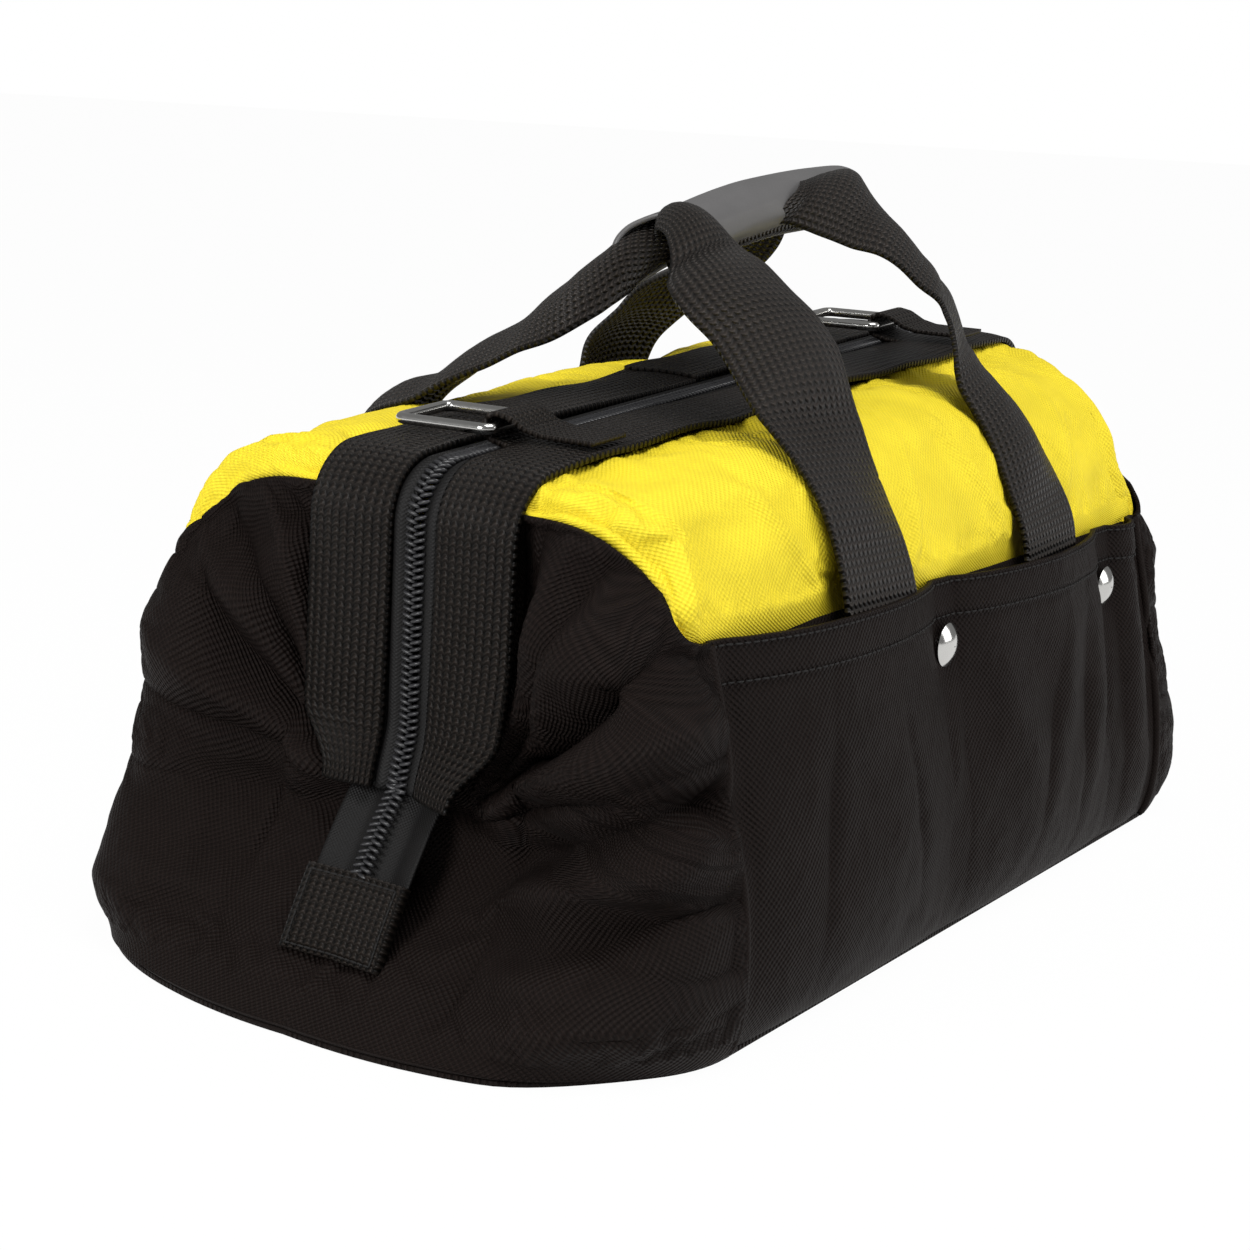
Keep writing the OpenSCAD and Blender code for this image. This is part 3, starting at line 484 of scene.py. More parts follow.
def pocket_sheet(turn, seed):
    x = np.linspace(-PANEL_X, PANEL_X, 240)[:, None]
    z = np.concatenate([np.linspace(SIDE_FOOT, POCKET_H - HEM_H - 0.8, 66),
                        np.linspace(POCKET_H - HEM_H, POCKET_H, 18)])[None, :]
    edges = [-PANEL_X, *DIVIDERS, PANEL_X]
    off = np.zeros_like(x)
    for lo, hi in zip(edges, edges[1:]):
        t = np.clip((x - lo - SEAT) / (hi - lo - 2 * SEAT), 0, 1)
        off = off + POCKET_GAP * min(1, 2 * (hi - lo) / 147) * np.sin(np.pi * t) ** 0.7
    y = side_y(x, np.minimum(z, SIDE_TOP)) + GAP + CLOTH + off * np.sqrt(z / POCKET_H)
    p = np.stack([x + 0 * z, -y, z + 0 * x], -1)
    n = out_of(p, (0, -1, 0))
    # Soft vertical buckles below the hem, and slanting drag folds towards the rivets
    d = 1.5 * np.sin(x / 6.6 + 1.5 * np.sin(z / 24 + seed)) * hump(z, 70, 34) * hump(x, 95, 46)
    d = d + 1.1 * np.sin((x + 0.55 * z) / 8.5 + seed) * hump(x, 10, 50) * hump(z, 62, 36)
    for at, lean, reach in ((-120, 0.12, 30), (-64, -0.2, 26), (48, 0.3, 30),
                            (84, 0.1, 34), (112, -0.15, 28)):
        line = (x - at - lean * (z - 60)) / 3
        d = d - 1.9 * crease(line) * hump(z, 56, reach)
    for rivet in DIVIDERS:
        d = d - 1.2 * hump(np.hypot(x - rivet, z - 99), 0, 12)
        d = d + 1.1 * hump(x - rivet - 0.35 * (z - 95), 9, 5) * hump(z, 66, 26)
    d = d - 2.4 * hump(z, 72, 8) * hump(np.abs(x), SEAM_X, 9) * (z < 107)
    d = d + 1.6 * ripple(p, 46, seed) * ease(z / 25) + 0.55 * ripple(p, 15, seed + 2) * (z < 106)
    d = d + 0.22 * ripple(p, 5, seed)
    # The hem is twice as thick, with a sewn groove under it
    d = d + HEM_T * ease((z - (POCKET_H - HEM_H)) / 1.5) - 0.7 * hump(z, POCKET_H - HEM_H + 1.5, 1.1)
    d = d * ease((SEAM_X - np.abs(x)) / 6 + 0.1) * ease((z - 1) / 8)
    return (p + n * d[..., None]) * [turn, turn, 1]


pockets = {}
for turn_side, word, seed in ((1, "near", 1), (-1, "far", 4)):
    pockets[word] = pocket_sheet(turn_side, seed)
    cloth = sheet_mesh("pocket_cloth_" + word, [pockets[word]], black_cloth)
    fixed_to("bag", cloth, "pocket_" + word)


# --- Yellow panels --------------------------------------------------------------------------
# One panel of the yellow cloth on each side runs from behind the pocket's hem up to the strip
# beside the zip, and is sewn over the top edge of each end. The handles pull it into dents.

# The same cloth as below, dyed yellow, where painted shade darkens the fine gaps between
# the threads. They are drawn 0.95 mm apart, again coarser than real.
yellow_cloth = woven("yellow woven polyester", "#f0d930", 0.95, 0.16, 0.62, 0.03, 0.08, gloss=0.2)
SHOULDER, LEG_X = 14, (-71, 67)
RIM_R = 17.6
TIP_A = math.degrees(math.asin((STRIP_OUT - OVERLAP) / half_w(turn_z(-1))))


def rim(end, a):
    return np.stack([end * (FRONT_X - TURN_R + RIM_R * np.sin(np.radians(a))), 0 * a - STRIP_OUT + OVERLAP,
                     turn_z(end) + RIM_R * np.cos(np.radians(a))], -1)


def yellow_panel(side, seed):
    """The near panel as a grid from front to rear and from the hem up."""
    u, v = np.linspace(0, 1, 241), np.linspace(0, 1, 81)
    past = np.clip(np.maximum(1 - u / 0.1, 1 - (1 - u) / 0.1), 0, 1)
    run = np.clip((u - 0.1) / 0.8, 0, 1)
    sign = np.where(u < 0.5, -1, 1)
    x = (1 - past) * (2 * run - 1) * (FRONT_X - TURN_R) + past * sign * SEAM_X
    low = np.stack([x, -side_y(x, SIDE_TOP), SIDE_TOP - 8 * (1 - (x / SEAM_X) ** 8)], -1)
    hi = np.empty_like(low)
    for end in (-1, 1):
        rows = (sign == end)
        hi[rows] = rim(end, -end * RIDGE_TILT + (59 + end * RIDGE_TILT) * past[rows])
    flat = past == 0
    a, b = rim(-1, np.array(RIDGE_TILT)), rim(1, np.array(-RIDGE_TILT))
    hi[flat] = a + (b - a) * run[flat, None]
    sides = []
    for end in (-1, 1):
        turn = 90 + (TIP_A - 90) * v
        sides.append(end_point(turn, end_top(end, turn, side), fullness(end, side)) * [end, -1, 1])
    U, V = u[:, None, None], v[None, :, None]
    front, rear = ((1 - V) * row[0] + V * row[-1] for row in sides)
    corners = (1 - U) * front + U * rear
    p = (1 - V) * low[:, None] + V * hi[:, None] + (1 - U) * sides[0][None] + U * sides[1][None] - corners
    out = np.array([0, -53, 57]) / math.hypot(53, 57)
    swell = SHOULDER * np.sin(np.pi * np.clip((V - 0.1) / 0.9, 0, 1) ** 0.85)
    swell = swell * np.clip(np.sin(np.pi * U), 0, 1) ** 0.4
    p = p + swell * out
    U, V = U[..., 0], V[..., 0]
    x = p[..., 0]
    edge = 330 * np.minimum(U, 1 - U)
    d = 2.6 * hump(edge, 17, 8) * np.sin(np.pi * V) ** 0.5 - 1.5 * hump(edge, 5, 3)
    # Puffs between the stitches that gather the panel's ends
    d = d + 1.1 * np.sin(V * 21 + seed) * hump(edge, 9, 7) * ease(V / 0.2) * ease((1 - V) / 0.15)
    # Dents under the handles' sewn legs, and drag folds that slant away from them
    for at in LEG_X:
        d = d - 4 * hump(x - at, 0, 26) * hump(V, 0.25, 0.3)
        for way in (-1, 1):
            d = d + 1.8 * hump((x - at) - way * (26 + 60 * (V - 0.15)), 0, 6) * hump(V, 0.42, 0.22)
    d = d + (2.4 * hump(V - 0.5 - 0.12 * np.sin(x / 45 + seed), 0, 0.1)
             * (0.6 + 0.4 * np.sin(x / 37 + 2 * seed)))
    if side > 0:
        d = d + 3 * hump(edge, 24, 15) * hump(V, 0.42, 0.26) * (U < 0.5)
    d = d - 4.5 * ease((x - 10) / 80) * np.sin(np.pi * V) ** 0.7 * (side < 0)
    d = d - 1.4 * hump(V, 0.93, 0.05) + 0.5 * np.sin(x / 4.3) * hump(V, 0.9, 0.06)
    d = d + 2.0 * ripple(p, 52, seed) + 0.8 * ripple(p, 19, seed + 1) + 0.22 * ripple(p, 7, seed + 2)
    d = d * ease((V - 0.06) / 0.16) * ease((1 - V) / 0.06) * ease(edge / 5)
    n = out_of(p, (0, -1, 0))
    p = p + n * d[..., None]
    return sway(p * [1, -side, 1])


for side, word, seed in ((-1, "near", 2), (1, "far", 5)):
    cloth = sheet_mesh("top_cloth_" + word, [yellow_panel(side, seed)], yellow_cloth,
                       inward=side < 0, spare=0.03, low=127)
    fixed_to("bag", cloth, "top_" + word)


# --- Corner seams ---------------------------------------------------------------------------
# The panels meet at four corner seams, rolled inside out round a cord of their own seam
# allowance, so that each shows as a soft ridge that wanders a little.
def tube(name, path, radius, material, sides=14, flat=1.0, across=(0, 1, 0)):
    """A closed round bar along a path in millimetres."""
    path = np.asarray(path, float)
    radius = np.broadcast_to(np.asarray(radius, float), (len(path),))
    t = np.gradient(path, axis=0)
    t /= np.linalg.norm(t, axis=1, keepdims=True)
    b = np.cross(t, across)
    b /= np.linalg.norm(b, axis=1, keepdims=True)
    c = np.cross(b, t)
    a = np.linspace(0, 2 * np.pi, sides, endpoint=False)
    round_c, round_b = np.cos(a)[None, :, None], flat * np.sin(a)[None, :, None]
    rings = path[:, None] + radius[:, None, None] * (round_c * c[:, None] + round_b * b[:, None])
    verts = np.concatenate([rings.reshape(-1, 3), path[[0, -1]]]) * MM
    faces, n = [], len(path)
    for i in range(n - 1):
        for k in range(sides):
            m = (k + 1) % sides
            faces.append((i * sides + k, i * sides + m, (i + 1) * sides + m, (i + 1) * sides + k))
    for k in range(sides):
        m = (k + 1) % sides
        faces.append((n * sides, m, k))
        faces.append((n * sides + 1, (n - 1) * sides + k, (n - 1) * sides + m))
    mesh = bpy.data.meshes.new(name)
    mesh.from_pydata(verts.tolist(), [], faces)
    gone = lengths(path, 0)
    layer = mesh.uv_layers.new(name="weave")
    maps = np.zeros((len(verts), 2))
    maps[:n * sides, 0] = np.repeat(gone, sides) * MM
    maps[:n * sides, 1] = np.tile(a, n) * radius.mean() * MM
    maps[n * sides:] = maps[[0, n * sides - 1]]
    layer.data.foreach_set("uv", maps[np.concatenate([np.array(f) for f in faces])].ravel())
    mesh.materials.append(material)
    turned = bmesh.new()
    turned.from_mesh(mesh)
    bmesh.ops.recalc_face_normals(turned, faces=turned.faces)
    turned.to_mesh(mesh)
    turned.free()
    for polygon in mesh.polygons:
        polygon.use_smooth = True
    return new_object(name, mesh)


# Rolled tight, the cloth's threads lie closer than on the panels, with the same painted light on
# their crowns and painted shade between them.
seam_cloth = woven("black woven polyester, rolled seam", "#191311", 0.7, 0.08, 0.58, 0.012, 0.15,
                   gloss=0.07)
for end, side, word, where in CORNERS:
    z = np.linspace(3, 120, 60)
    wander = np.array([noise.noise(Vector((v / 19, end * 3.1, side * 1.7))) for v in z])
    out = half_w(z) + 0.2 - 3.2 * hump(z, 72, 8) - 0.6 * wander
    path = np.stack([end * (SEAM_X + 0.4 + 0.7 * wander), side * out, z], -1)
    roll = tube("corner_seam_%s_%s" % (word, where), path, 1.9 + 0.35 * wander, seam_cloth,
                across=(1, 0, 0))
    fixed_to("bag", roll)


# --- Sides and base -------------------------------------------------------------------------
# The side panels behind the pockets and the flat panel under the board are the same cloth.
for side, word in SIDES:
    x, z = np.linspace(-PANEL_X, PANEL_X, 60)[:, None], np.linspace(SIDE_FOOT, 119, 24)[None, :]
    p = np.stack([x + 0 * z, side * side_y(x, z), z + 0 * x], -1)
    lining = sheet_mesh("side_cloth_" + word, [p], black_cloth, inward=side < 0)
    fixed_to("bag", lining, "side_" + word)
a = np.radians(np.linspace(-90, 90, 65))
arc = end_point(np.degrees(np.abs(a)), np.full(65, float(SIDE_FOOT)))[:, :2]
arc[:, 1] *= np.sign(np.sin(a) + 1e-9)
outline = np.concatenate([arc, -arc, arc[:1]])
share = np.linspace(0.02, 1, 20)[None, :, None]
p = np.concatenate([outline[:, None] * share, np.full((len(outline), 20, 1), CLOTH)], -1)
base = sheet_mesh("base_cloth", [sway(p)], black_cloth, inward=False)
fixed_to("bag", base, "base_panel")


# --- Strips beside the zip ------------------------------------------------------------------
# Two strips of polypropylene webbing run beside the zip from the foot of one end, over the
# ridge, to the foot of the other. Each is sewn to the yellow panel's edge and to the zip tape.
def webbing(name, code, rib, column, depth, rough=0.45, gloss=0.3):
    """Ribbed webbing: ribs cross it every rib millimetres, and the warp stands in V columns. Painted
    highlights brighten the colour on the ribs' crests and painted shade darkens it in the grooves.
    """
    material, tree = finish(name)
    uv = add(tree, "ShaderNodeUVMap", uv_map="weave")
    parts = add(tree, "ShaderNodeSeparateXYZ", {0: uv})
    across = add(tree, "ShaderNodeMath", {0: parts.outputs[1], 1: math.pi / (column * MM)},
                 operation="MULTIPLY")
    fold = add(tree, "ShaderNodeMath", {0: across}, operation="SINE")
    vee = add(tree, "ShaderNodeMath", {0: fold}, operation="ABSOLUTE")
    along = add(tree, "ShaderNodeMath", {0: parts, 1: 2 * math.pi / (rib * MM)}, operation="MULTIPLY")
    slant = add(tree, "ShaderNodeMath", {0: vee, 1: 2.4, 2: along}, operation="MULTIPLY_ADD")
    wave = add(tree, "ShaderNodeMath", {0: slant}, operation="SINE")
    body = add(tree, "ShaderNodeMath", {0: wave, 1: 0.5, 2: vee}, operation="MULTIPLY_ADD")
    cloud = add(tree, "ShaderNodeTexNoise", {"Vector": uv, "Scale": 700.0, "Detail": 3.0})
    rise = add(tree, "ShaderNodeMath", {0: cloud, 1: 0.35, 2: body}, operation="MULTIPLY_ADD")
    # Painted highlights and shade: the colour is up to 2.6 times brighter on the crests of the ribs and falls
    # to a tenth in the grooves.
    fade = add(tree, "ShaderNodeMapRange", {0: body, 1: -0.4, 2: 1.4, 3: 0.1, 4: 2.6})
    coat(tree, code, fade, rise, depth, {"Roughness": rough, "Specular IOR Level": gloss})
    return material


# Polypropylene webbing, woven in V columns: the small lights on its round filament bundles are
# painted highlights in its colour. The real ribs are about 2 mm apart, and are drawn at 2.5 mm
# so that they show.
strip_webbing = webbing("black polypropylene webbing", "#171310", 2.5, 3.0, 1.5, gloss=0.2)


def spine(end, depth=0.0, step=2.0, foot=STRIP_FOOT):
    """From the middle of the ridge round the turn to the foot: points (x, z) and their outward
    directions, at a depth inside the strips' outer face."""
    b, r = math.radians(end * RIDGE_TILT), TURN_R - depth
    start = np.array([0, RIDGE_Z - depth / math.cos(b)])
    stop = np.array([FRONT_X - TURN_R + r * math.sin(-b), turn_z(end) + r * math.cos(b)])
    count = int(np.linalg.norm(stop - start) / step)
    ridge = start + (stop - start) * np.linspace(0, 1, count)[:, None]
    turn_a = np.linspace(-b, math.pi / 2, max(8, int(r * (math.pi / 2 + b) / step)))[1:]
    bow = np.stack([FRONT_X - TURN_R + r * np.sin(turn_a), turn_z(end) + r * np.cos(turn_a)], -1)
    drop = np.linspace(turn_z(end), foot, int((turn_z(end) - foot) / step))[1:]
    fall = np.stack([np.full(len(drop), FRONT_X - depth), drop], -1)
    path = np.concatenate([ridge, bow, fall])
    out = np.concatenate([np.tile([-math.sin(b), math.cos(b)], (len(ridge), 1)),
                          np.stack([np.sin(turn_a), np.cos(turn_a)], -1),
                          np.tile([1.0, 0.0], (len(fall), 1))])
    # Low down the zip leans out towards its loose tail
    lean = 5.5 * ease((84 - path[:, 1]) / 24) if end < 0 else 0
    path[:, 0] += lean
    return path * [end, 1], out * [end, 1]


def strip_grid(end, side, y0, y1, cols, depth, lift, flare=0.0, taper=0.0):
    """A strip along the spine from y0 to y1 beside its middle, raised by lift(y, x, z)."""
    path, out = spine(end, depth)
    y = np.linspace(y0, y1, cols)
    z = path[:, 1][:, None]
    p = np.empty((len(path), cols, 3))
    back_off = flare * ease((110 - z) / 50) * (y[None] - STRIP_IN) / 30 * (side < 0) * (end < 0)
    p[..., 0] = path[:, :1] - back_off
    p[..., 1] = side * (STRIP_IN + (y[None] - STRIP_IN) * (1 - taper * ease((84 - z) / 20)))
    p[..., 2] = z
    rise = lift(y[None], path[:, 0][:, None], z)
    p[..., 0] += out[:, :1] * rise
    p[..., 2] += out[:, 1:] * rise
    gone = lengths(path, 0)
    return sway(p), (np.repeat(gone[:, None], cols, 1), np.repeat(y[None], len(path), 0))


def bends(piece, body, slot, start, end, *nodes):
    """Hides the CAD nodes that the piece stands in for and bakes its place into its mesh. The body, the start
    and the end are not used.
    """
    if nodes:
        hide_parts(*nodes)
    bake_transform(piece)


# Between the rings and the grip
MOUTH_FROM, MOUTH_TO = 0.111, 0.088


def across_mouth(piece, end, side, slot, *nodes):
    """Hands the piece to bends with the mouth's side and two points along the opening, which hides the CAD
    nodes it stands in for.
    """
    bends(piece, "mouth_near" if side < 0 else "mouth_far", slot,
          (end * MOUTH_FROM, side * 0.03, 0.174), (end * MOUTH_TO, side * 0.03, 0.174), *nodes)


strips = {}
for end, side, word, where in CORNERS:
    def worn(y, x, z, end=end, side=side):
        # The outer edge is pulled up in shallow scallops by its stitches, and the strip bows
        edge = ease((y - 33) / 6)
        wave = np.sin(x / 8.5 + side) + 0.6 * np.sin(x / 21 + z / 13)
        bow = 0.9 * np.sin(np.pi * (y - STRIP_IN) / 30)
        return 0.5 * wave * edge + bow + 0.8 * np.sin(x / 33 + end + z / 29) * (z > 80)
    p, uv = strip_grid(end, side, STRIP_IN, STRIP_OUT, 16, 0.9, worn, flare=7, taper=0.4)
    strips[end, side] = p
    strap = sheet_mesh("strip_%s_%s" % (word, where), [p], strip_webbing, thick=2,
                       inward=end * side < 0, uv=[uv])
    across_mouth(strap, end, side, "webbing", "end_web_%s_%s" % (word, where), "mouth_web_" + where)


# --- Zip ------------------------------------------------------------------------------------
# A coil zip: one monofilament of nylon is wound in a flat spiral, sewn along the edge of each
# woven tape, and its loops from both sides lock between each other. The tape's
# threads are drawn 0.6 mm apart, twice the real distance, so that they show.
# The tape's colour carries painted light on the thread crowns and painted shade between them.
zip_tape = woven("black zip tape", "#121111", 0.6, 0.08, 0.55, 0.03, 0.12, gloss=0.2)
# The loops stand beside the middle and lean along the coil, in shares of their own direction
COIL_PITCH, COIL_Y, LOOP_ACROSS, LOOP_ALONG = 2.2, 1.55, 0.96, 0.28


def moulded(name, code, rough, metallic=0.0, grain=0.0, size=900.0):
    material, tree = finish(name)
    where = add(tree, "ShaderNodeTexCoord").outputs["Object"]
    cloud = add(tree, "ShaderNodeTexNoise", {"Vector": where, "Scale": size, "Detail": 4.0})
    patch = add(tree, "ShaderNodeTexNoise", {"Vector": where, "Scale": 60.0, "Detail": 3.0})
    tone = add(tree, "ShaderNodeMapRange", {0: patch, 1: 0.3, 2: 0.7, 3: 0.93, 4: 1.06})
    worn = add(tree, "ShaderNodeMapRange", {0: cloud, 1: 0.25, 2: 0.75, 3: rough * 0.85, 4: rough * 1.15})
    coat(tree, code, tone, cloud, grain, {"Roughness": worn, "Metallic": metallic})
    return material


# Nylon monofilament, drawn smooth: each loop shows one narrow highlight.
nylon = moulded("black nylon monofilament", "#29292b", 0.3, grain=0.02)
# Sewing thread, twisted polyester.
thread = moulded("black sewing thread", "#0e0c0b", 0.85, grain=0.05, size=2400.0)


def small_shape(name, length, width, height, bend=0.0, rings=5, sides=8):
    """A little rounded bar along X with closed ends, a few dozen faces."""
    t = np.linspace(-1, 1, rings)
    path = np.stack([t * length / 2, 0 * t, height / 2 + bend * (1 - t * t)], -1)
    radius = width / 2 * np.sqrt(np.clip(1 - (np.abs(t) * 0.9) ** 4, 0.1, 1))
    piece = tube(name, path, radius, thread, sides=sides, flat=height / width)
    bpy.context.scene.collection.objects.unlink(piece)
    return piece


def repeated(name, spots, turns, item, material, spread=0.06):
    """One mesh of an item set at each spot in millimetres, turned by its Euler angles."""
    points = bpy.data.meshes.new(name)
    points.from_pydata((np.asarray(spots) * MM).tolist(), [], [])
    angle = points.attributes.new("turn", "FLOAT_VECTOR", "POINT")
    angle.data.foreach_set("vector", np.asarray(turns, float).ravel())
    piece = new_object(name, points)
    tree = bpy.data.node_groups.new(name, "GeometryNodeTree")
    sockets = {}
    tree.interface.new_socket("Geometry", in_out="INPUT", socket_type="NodeSocketGeometry")
    for label, kind, value in (("Item", "NodeSocketObject", item), ("Size", "NodeSocketFloat", 1.0),
                               ("Spread", "NodeSocketFloat", spread), ("Seed", "NodeSocketInt", 1),
                               ("Finish", "NodeSocketMaterial", material)):
        sockets[tree.interface.new_socket(label, in_out="INPUT", socket_type=kind).identifier] = value
    tree.interface.new_socket("Geometry", in_out="OUTPUT", socket_type="NodeSocketGeometry")
    given = add(tree, "NodeGroupInput")
    shape = add(tree, "GeometryNodeObjectInfo", {"Object": given.outputs["Item"]})
    turn = add(tree, "GeometryNodeInputNamedAttribute", {"Name": "turn"}, data_type="FLOAT_VECTOR")
    ends = {0: given.outputs["Size"], 1: given.outputs["Spread"]}
    low = add(tree, "ShaderNodeMath", ends, operation="SUBTRACT")
    high = add(tree, "ShaderNodeMath", ends, operation="ADD")
    size = add(tree, "FunctionNodeRandomValue", {2: low, 3: high, 8: given.outputs["Seed"]},
               data_type="FLOAT")
    placed = add(tree, "GeometryNodeInstanceOnPoints",
                 {"Points": given.outputs["Geometry"], "Instance": shape.outputs["Geometry"],
                  "Rotation": turn.outputs["Attribute"], "Scale": size.outputs[1]})
    real = add(tree, "GeometryNodeRealizeInstances", {0: placed})
    done = add(tree, "GeometryNodeSetMaterial", {"Geometry": real, "Material": given.outputs["Finish"]})
    add(tree, "NodeGroupOutput", {0: done})
    modifier = piece.modifiers.new("repeat", "NODES")
    modifier.node_group = tree
    for identifier, value in sockets.items():
        modifier[identifier] = value
    return settle(piece)


def facing(along, out):
    """Euler angles that turn X to along and Z to out, for each of many directions."""
    turns = []
    for a, o in zip(np.asarray(along, float), np.asarray(out, float)):
        x = Vector(a).normalized()
        y = Vector(o).cross(x).normalized()
        turns.append(tuple(Matrix((x, y, x.cross(y))).transposed().to_euler()))
    return turns


loop_shape = small_shape("coil loop", 4.4, 1.35, 1.9, bend=0.45, rings=6)
for end, side, word, where in CORNERS:
    def rolled(y, x, z):
        # The tape's edge puffs into a roll beside the coil
        return 1.5 * hump(y, 6.4, 2.1) - 0.5 * hump(y, 9, 1.2)
    p, uv = strip_grid(end, side, 2.2, 20, 19, 2.7, rolled)
    tape = sheet_mesh("zip_tape_%s_%s" % (word, where), [p], zip_tape, thick=1,
                      inward=end * side < 0, uv=[uv])
    across_mouth(tape, end, side, "black_fabric", "zip_tape_" + word, "mouth_tape_" + where)
    foot = STRIP_FOOT if end < 0 else 76
    path, out = spine(end, 1.9, step=0.5, foot=foot)
    gone = lengths(path, 0)
    at = np.arange(COIL_PITCH * (0.25 + 0.5 * (side > 0)), gone[-1], COIL_PITCH)
    (x, z), (ox, oz) = at_length(path, gone, at).T, at_length(out, gone, at).T
    spots = sway(np.stack([x, np.full(len(at), side * COIL_Y), z], -1))
    ahead = np.stack([oz * end, 0 * ox, -ox * end], -1)
    cross = np.array([0, side, 0]) * LOOP_ACROSS + ahead * LOOP_ALONG * end
    turns = facing(cross, np.stack([ox, 0 * ox, oz], -1))
    teeth = repeated("zip_coil_%s_%s" % (word, where), spots, turns, loop_shape, nylon, 0.02)
    across_mouth(teeth, end, side, "coil", "zip_coil_" + word, "mouth_coil_" + where)


# --- Loose zip tails ------------------------------------------------------------------------
# Below the strips the zip hangs free of each end: the front tail carries its coil down to a
# tab of folded webbing sewn over the tape's cut end, and the rear one ends just the same.
# As on the strips, its colour holds painted highlights on the rib crests and painted shade in the grooves.
tab_webbing = webbing("black webbing, end tabs", "#171310", 2.2, 2.6, 1.1, gloss=0.22)


def framed(path, width, cols, bow=0.0, roll=0.0):
    """A flat band along a path of (x, z) points, width wide across Y, bowed, and puffed into
    a roll on each side of its middle."""
    path = np.asarray(path, float)
    fine = np.linspace(0, 1, 40)
    steps = lengths(path, 0)
    x, z = at_length(path, steps, fine * steps[-1]).T
    for _ in range(3):
        x[1:-1], z[1:-1] = ((v[:-2] + 2 * v[1:-1] + v[2:]) / 4 for v in (x, z))
    y = np.linspace(-width / 2, width / 2, cols)
    n = np.stack([-np.gradient(z), np.gradient(x)], -1)
    n /= np.linalg.norm(n, axis=1, keepdims=True)
    rise = bow * (1 - (2 * y / width) ** 2) + roll * (hump(np.abs(y), 9, 4) - 0.5 * hump(y, 0, 3))
    p = np.stack([x[:, None] - n[:, :1] * rise, 0 * x[:, None] + y, z[:, None] - n[:, 1:] * rise], -1)
    uv = np.repeat(fine[:, None] * steps[-1], cols, 1), np.repeat(y[None], 40, 0)
    return p, uv, np.stack([x, z], -1)


edged = {}
for end, word in ENDS:
    body = "tail_" + word
    hang = [(177, 66), (180.5, 61.5), (187, 53.5), (193, 45), (197.5, 38), (200, 34)]
    p, uv, line = framed(hang, 35.6, 37, bow=0.8, roll=1.6)
    tail = sheet_mesh("tail_tape_cloth_" + word, [sway(p * [end, 1, 1])], zip_tape, thick=1,
                      inward=end > 0, uv=[uv])
    hinge = (end * 0.1785, 0, 0.0645), (end * 0.1845, 0, 0.0545)
    bends(tail, body, "black_fabric", *hinge, "tail_tape_" + word)
    tab = [(197, 39.5), (200.5, 34), (205, 26.5), (210.5, 16.5)]
    p, uv, _ = framed(tab, 37, 19, bow=0.5)
    edged[word] = sway((p + [2.2, 0, 1.3]) * [end, 1, 1])
    pad = sheet_mesh("tail_tab_cloth_" + word, [edged[word]], tab_webbing, thick=3.6,
                     inward=end > 0, uv=[uv])
    fixed_to(body, pad, "tail_tab_" + word)
    if end < 0:
        gone = lengths(line, 0)
        for side, where in SIDES:
            at = np.arange(COIL_PITCH * (0.25 + 0.5 * (side > 0)), gone[-1] - 5, COIL_PITCH)
            x, z = at_length(line + [0.6, 0], gone, at).T
            spots = np.stack([-x, np.full(len(at), side * COIL_Y), z], -1)
            cross = np.array([0, side * LOOP_ACROSS, 0]) + np.array([-0.5, 0, -0.86]) * LOOP_ALONG
            turns = facing([cross] * len(at), [(-0.86, 0, 0.5)] * len(at))
            teeth = repeated("tail_coil_loops_" + where, sway(spots), turns, loop_shape, nylon, 0.02)
            bends(teeth, body, "coil", *hinge, "tail_coil_front")


# --- Slider, pull tab, rings and rivets -----------------------------------------------------
# Zinc die castings and bent steel wire, all nickel plated and polished: bright, with soft
# reflections and a slightly uneven skin where the plating follows the casting.
nickel = moulded("nickel plate, polished", "#c6c5c2", 0.16, metallic=1.0, grain=0.012, size=500.0)
for node in ("slider", "pull_tab", "ring_front", "ring_rear", "rivets_near", "rivets_far"):
    dress(node, nickel)


# --- Ring tabs ------------------------------------------------------------------------------
# A short length of narrow webbing passes through each ring and back over itself, and both
# ends are sewn down on the near strip.
LOOP_W, LOOP_T, RING_Y, RING_Z, RING_X = 19, 1.5, -2.25, 5.85, 131
tilt = math.radians(RIDGE_TILT)
for end, word in ENDS:
    turn_a = np.radians(np.linspace(-90, 90, 17))
    bow = np.stack([RING_Y + 2.85 * np.cos(turn_a), RING_Z + 2.85 * np.sin(turn_a)], -1)
    path = np.concatenate([[(-30, 1.7), (-24, 1.6), (-12, 1.5), (-6, 2.1)], bow,
                           [(-6.5, 7.9), (-12, 4.9), (-18, 3.5), (-26, 3.3), (-37.5, 3.2)]])
    fine = lengths(path, 0)
    at = np.linspace(0, fine[-1], 90)
    y, z = at_length(path, fine, at).T
    x = np.linspace(-LOOP_W / 2, LOOP_W / 2, 10)
    n = np.stack([-np.gradient(z), np.gradient(y)], -1)
    n /= np.linalg.norm(n, axis=1, keepdims=True)
    y, z = y + n[:, 0] * LOOP_T / 2 * -1, z + n[:, 1] * LOOP_T / 2 * -1
    u = end * RING_X + x[None]
    p = np.stack([u * math.cos(tilt) - z[:, None] * math.sin(tilt), np.repeat(y[:, None], 10, 1),
                  RIDGE_Z + u * math.sin(tilt) + z[:, None] * math.cos(tilt)], -1)
    loop = sheet_mesh("ring_loop_" + word, [p], tab_webbing, thick=LOOP_T, inward=False,
                      uv=[(np.repeat(at[:, None], 10, 1), np.repeat(x[None], 90, 0))])
    fixed_to("bag", loop, "ring_tab_" + word)


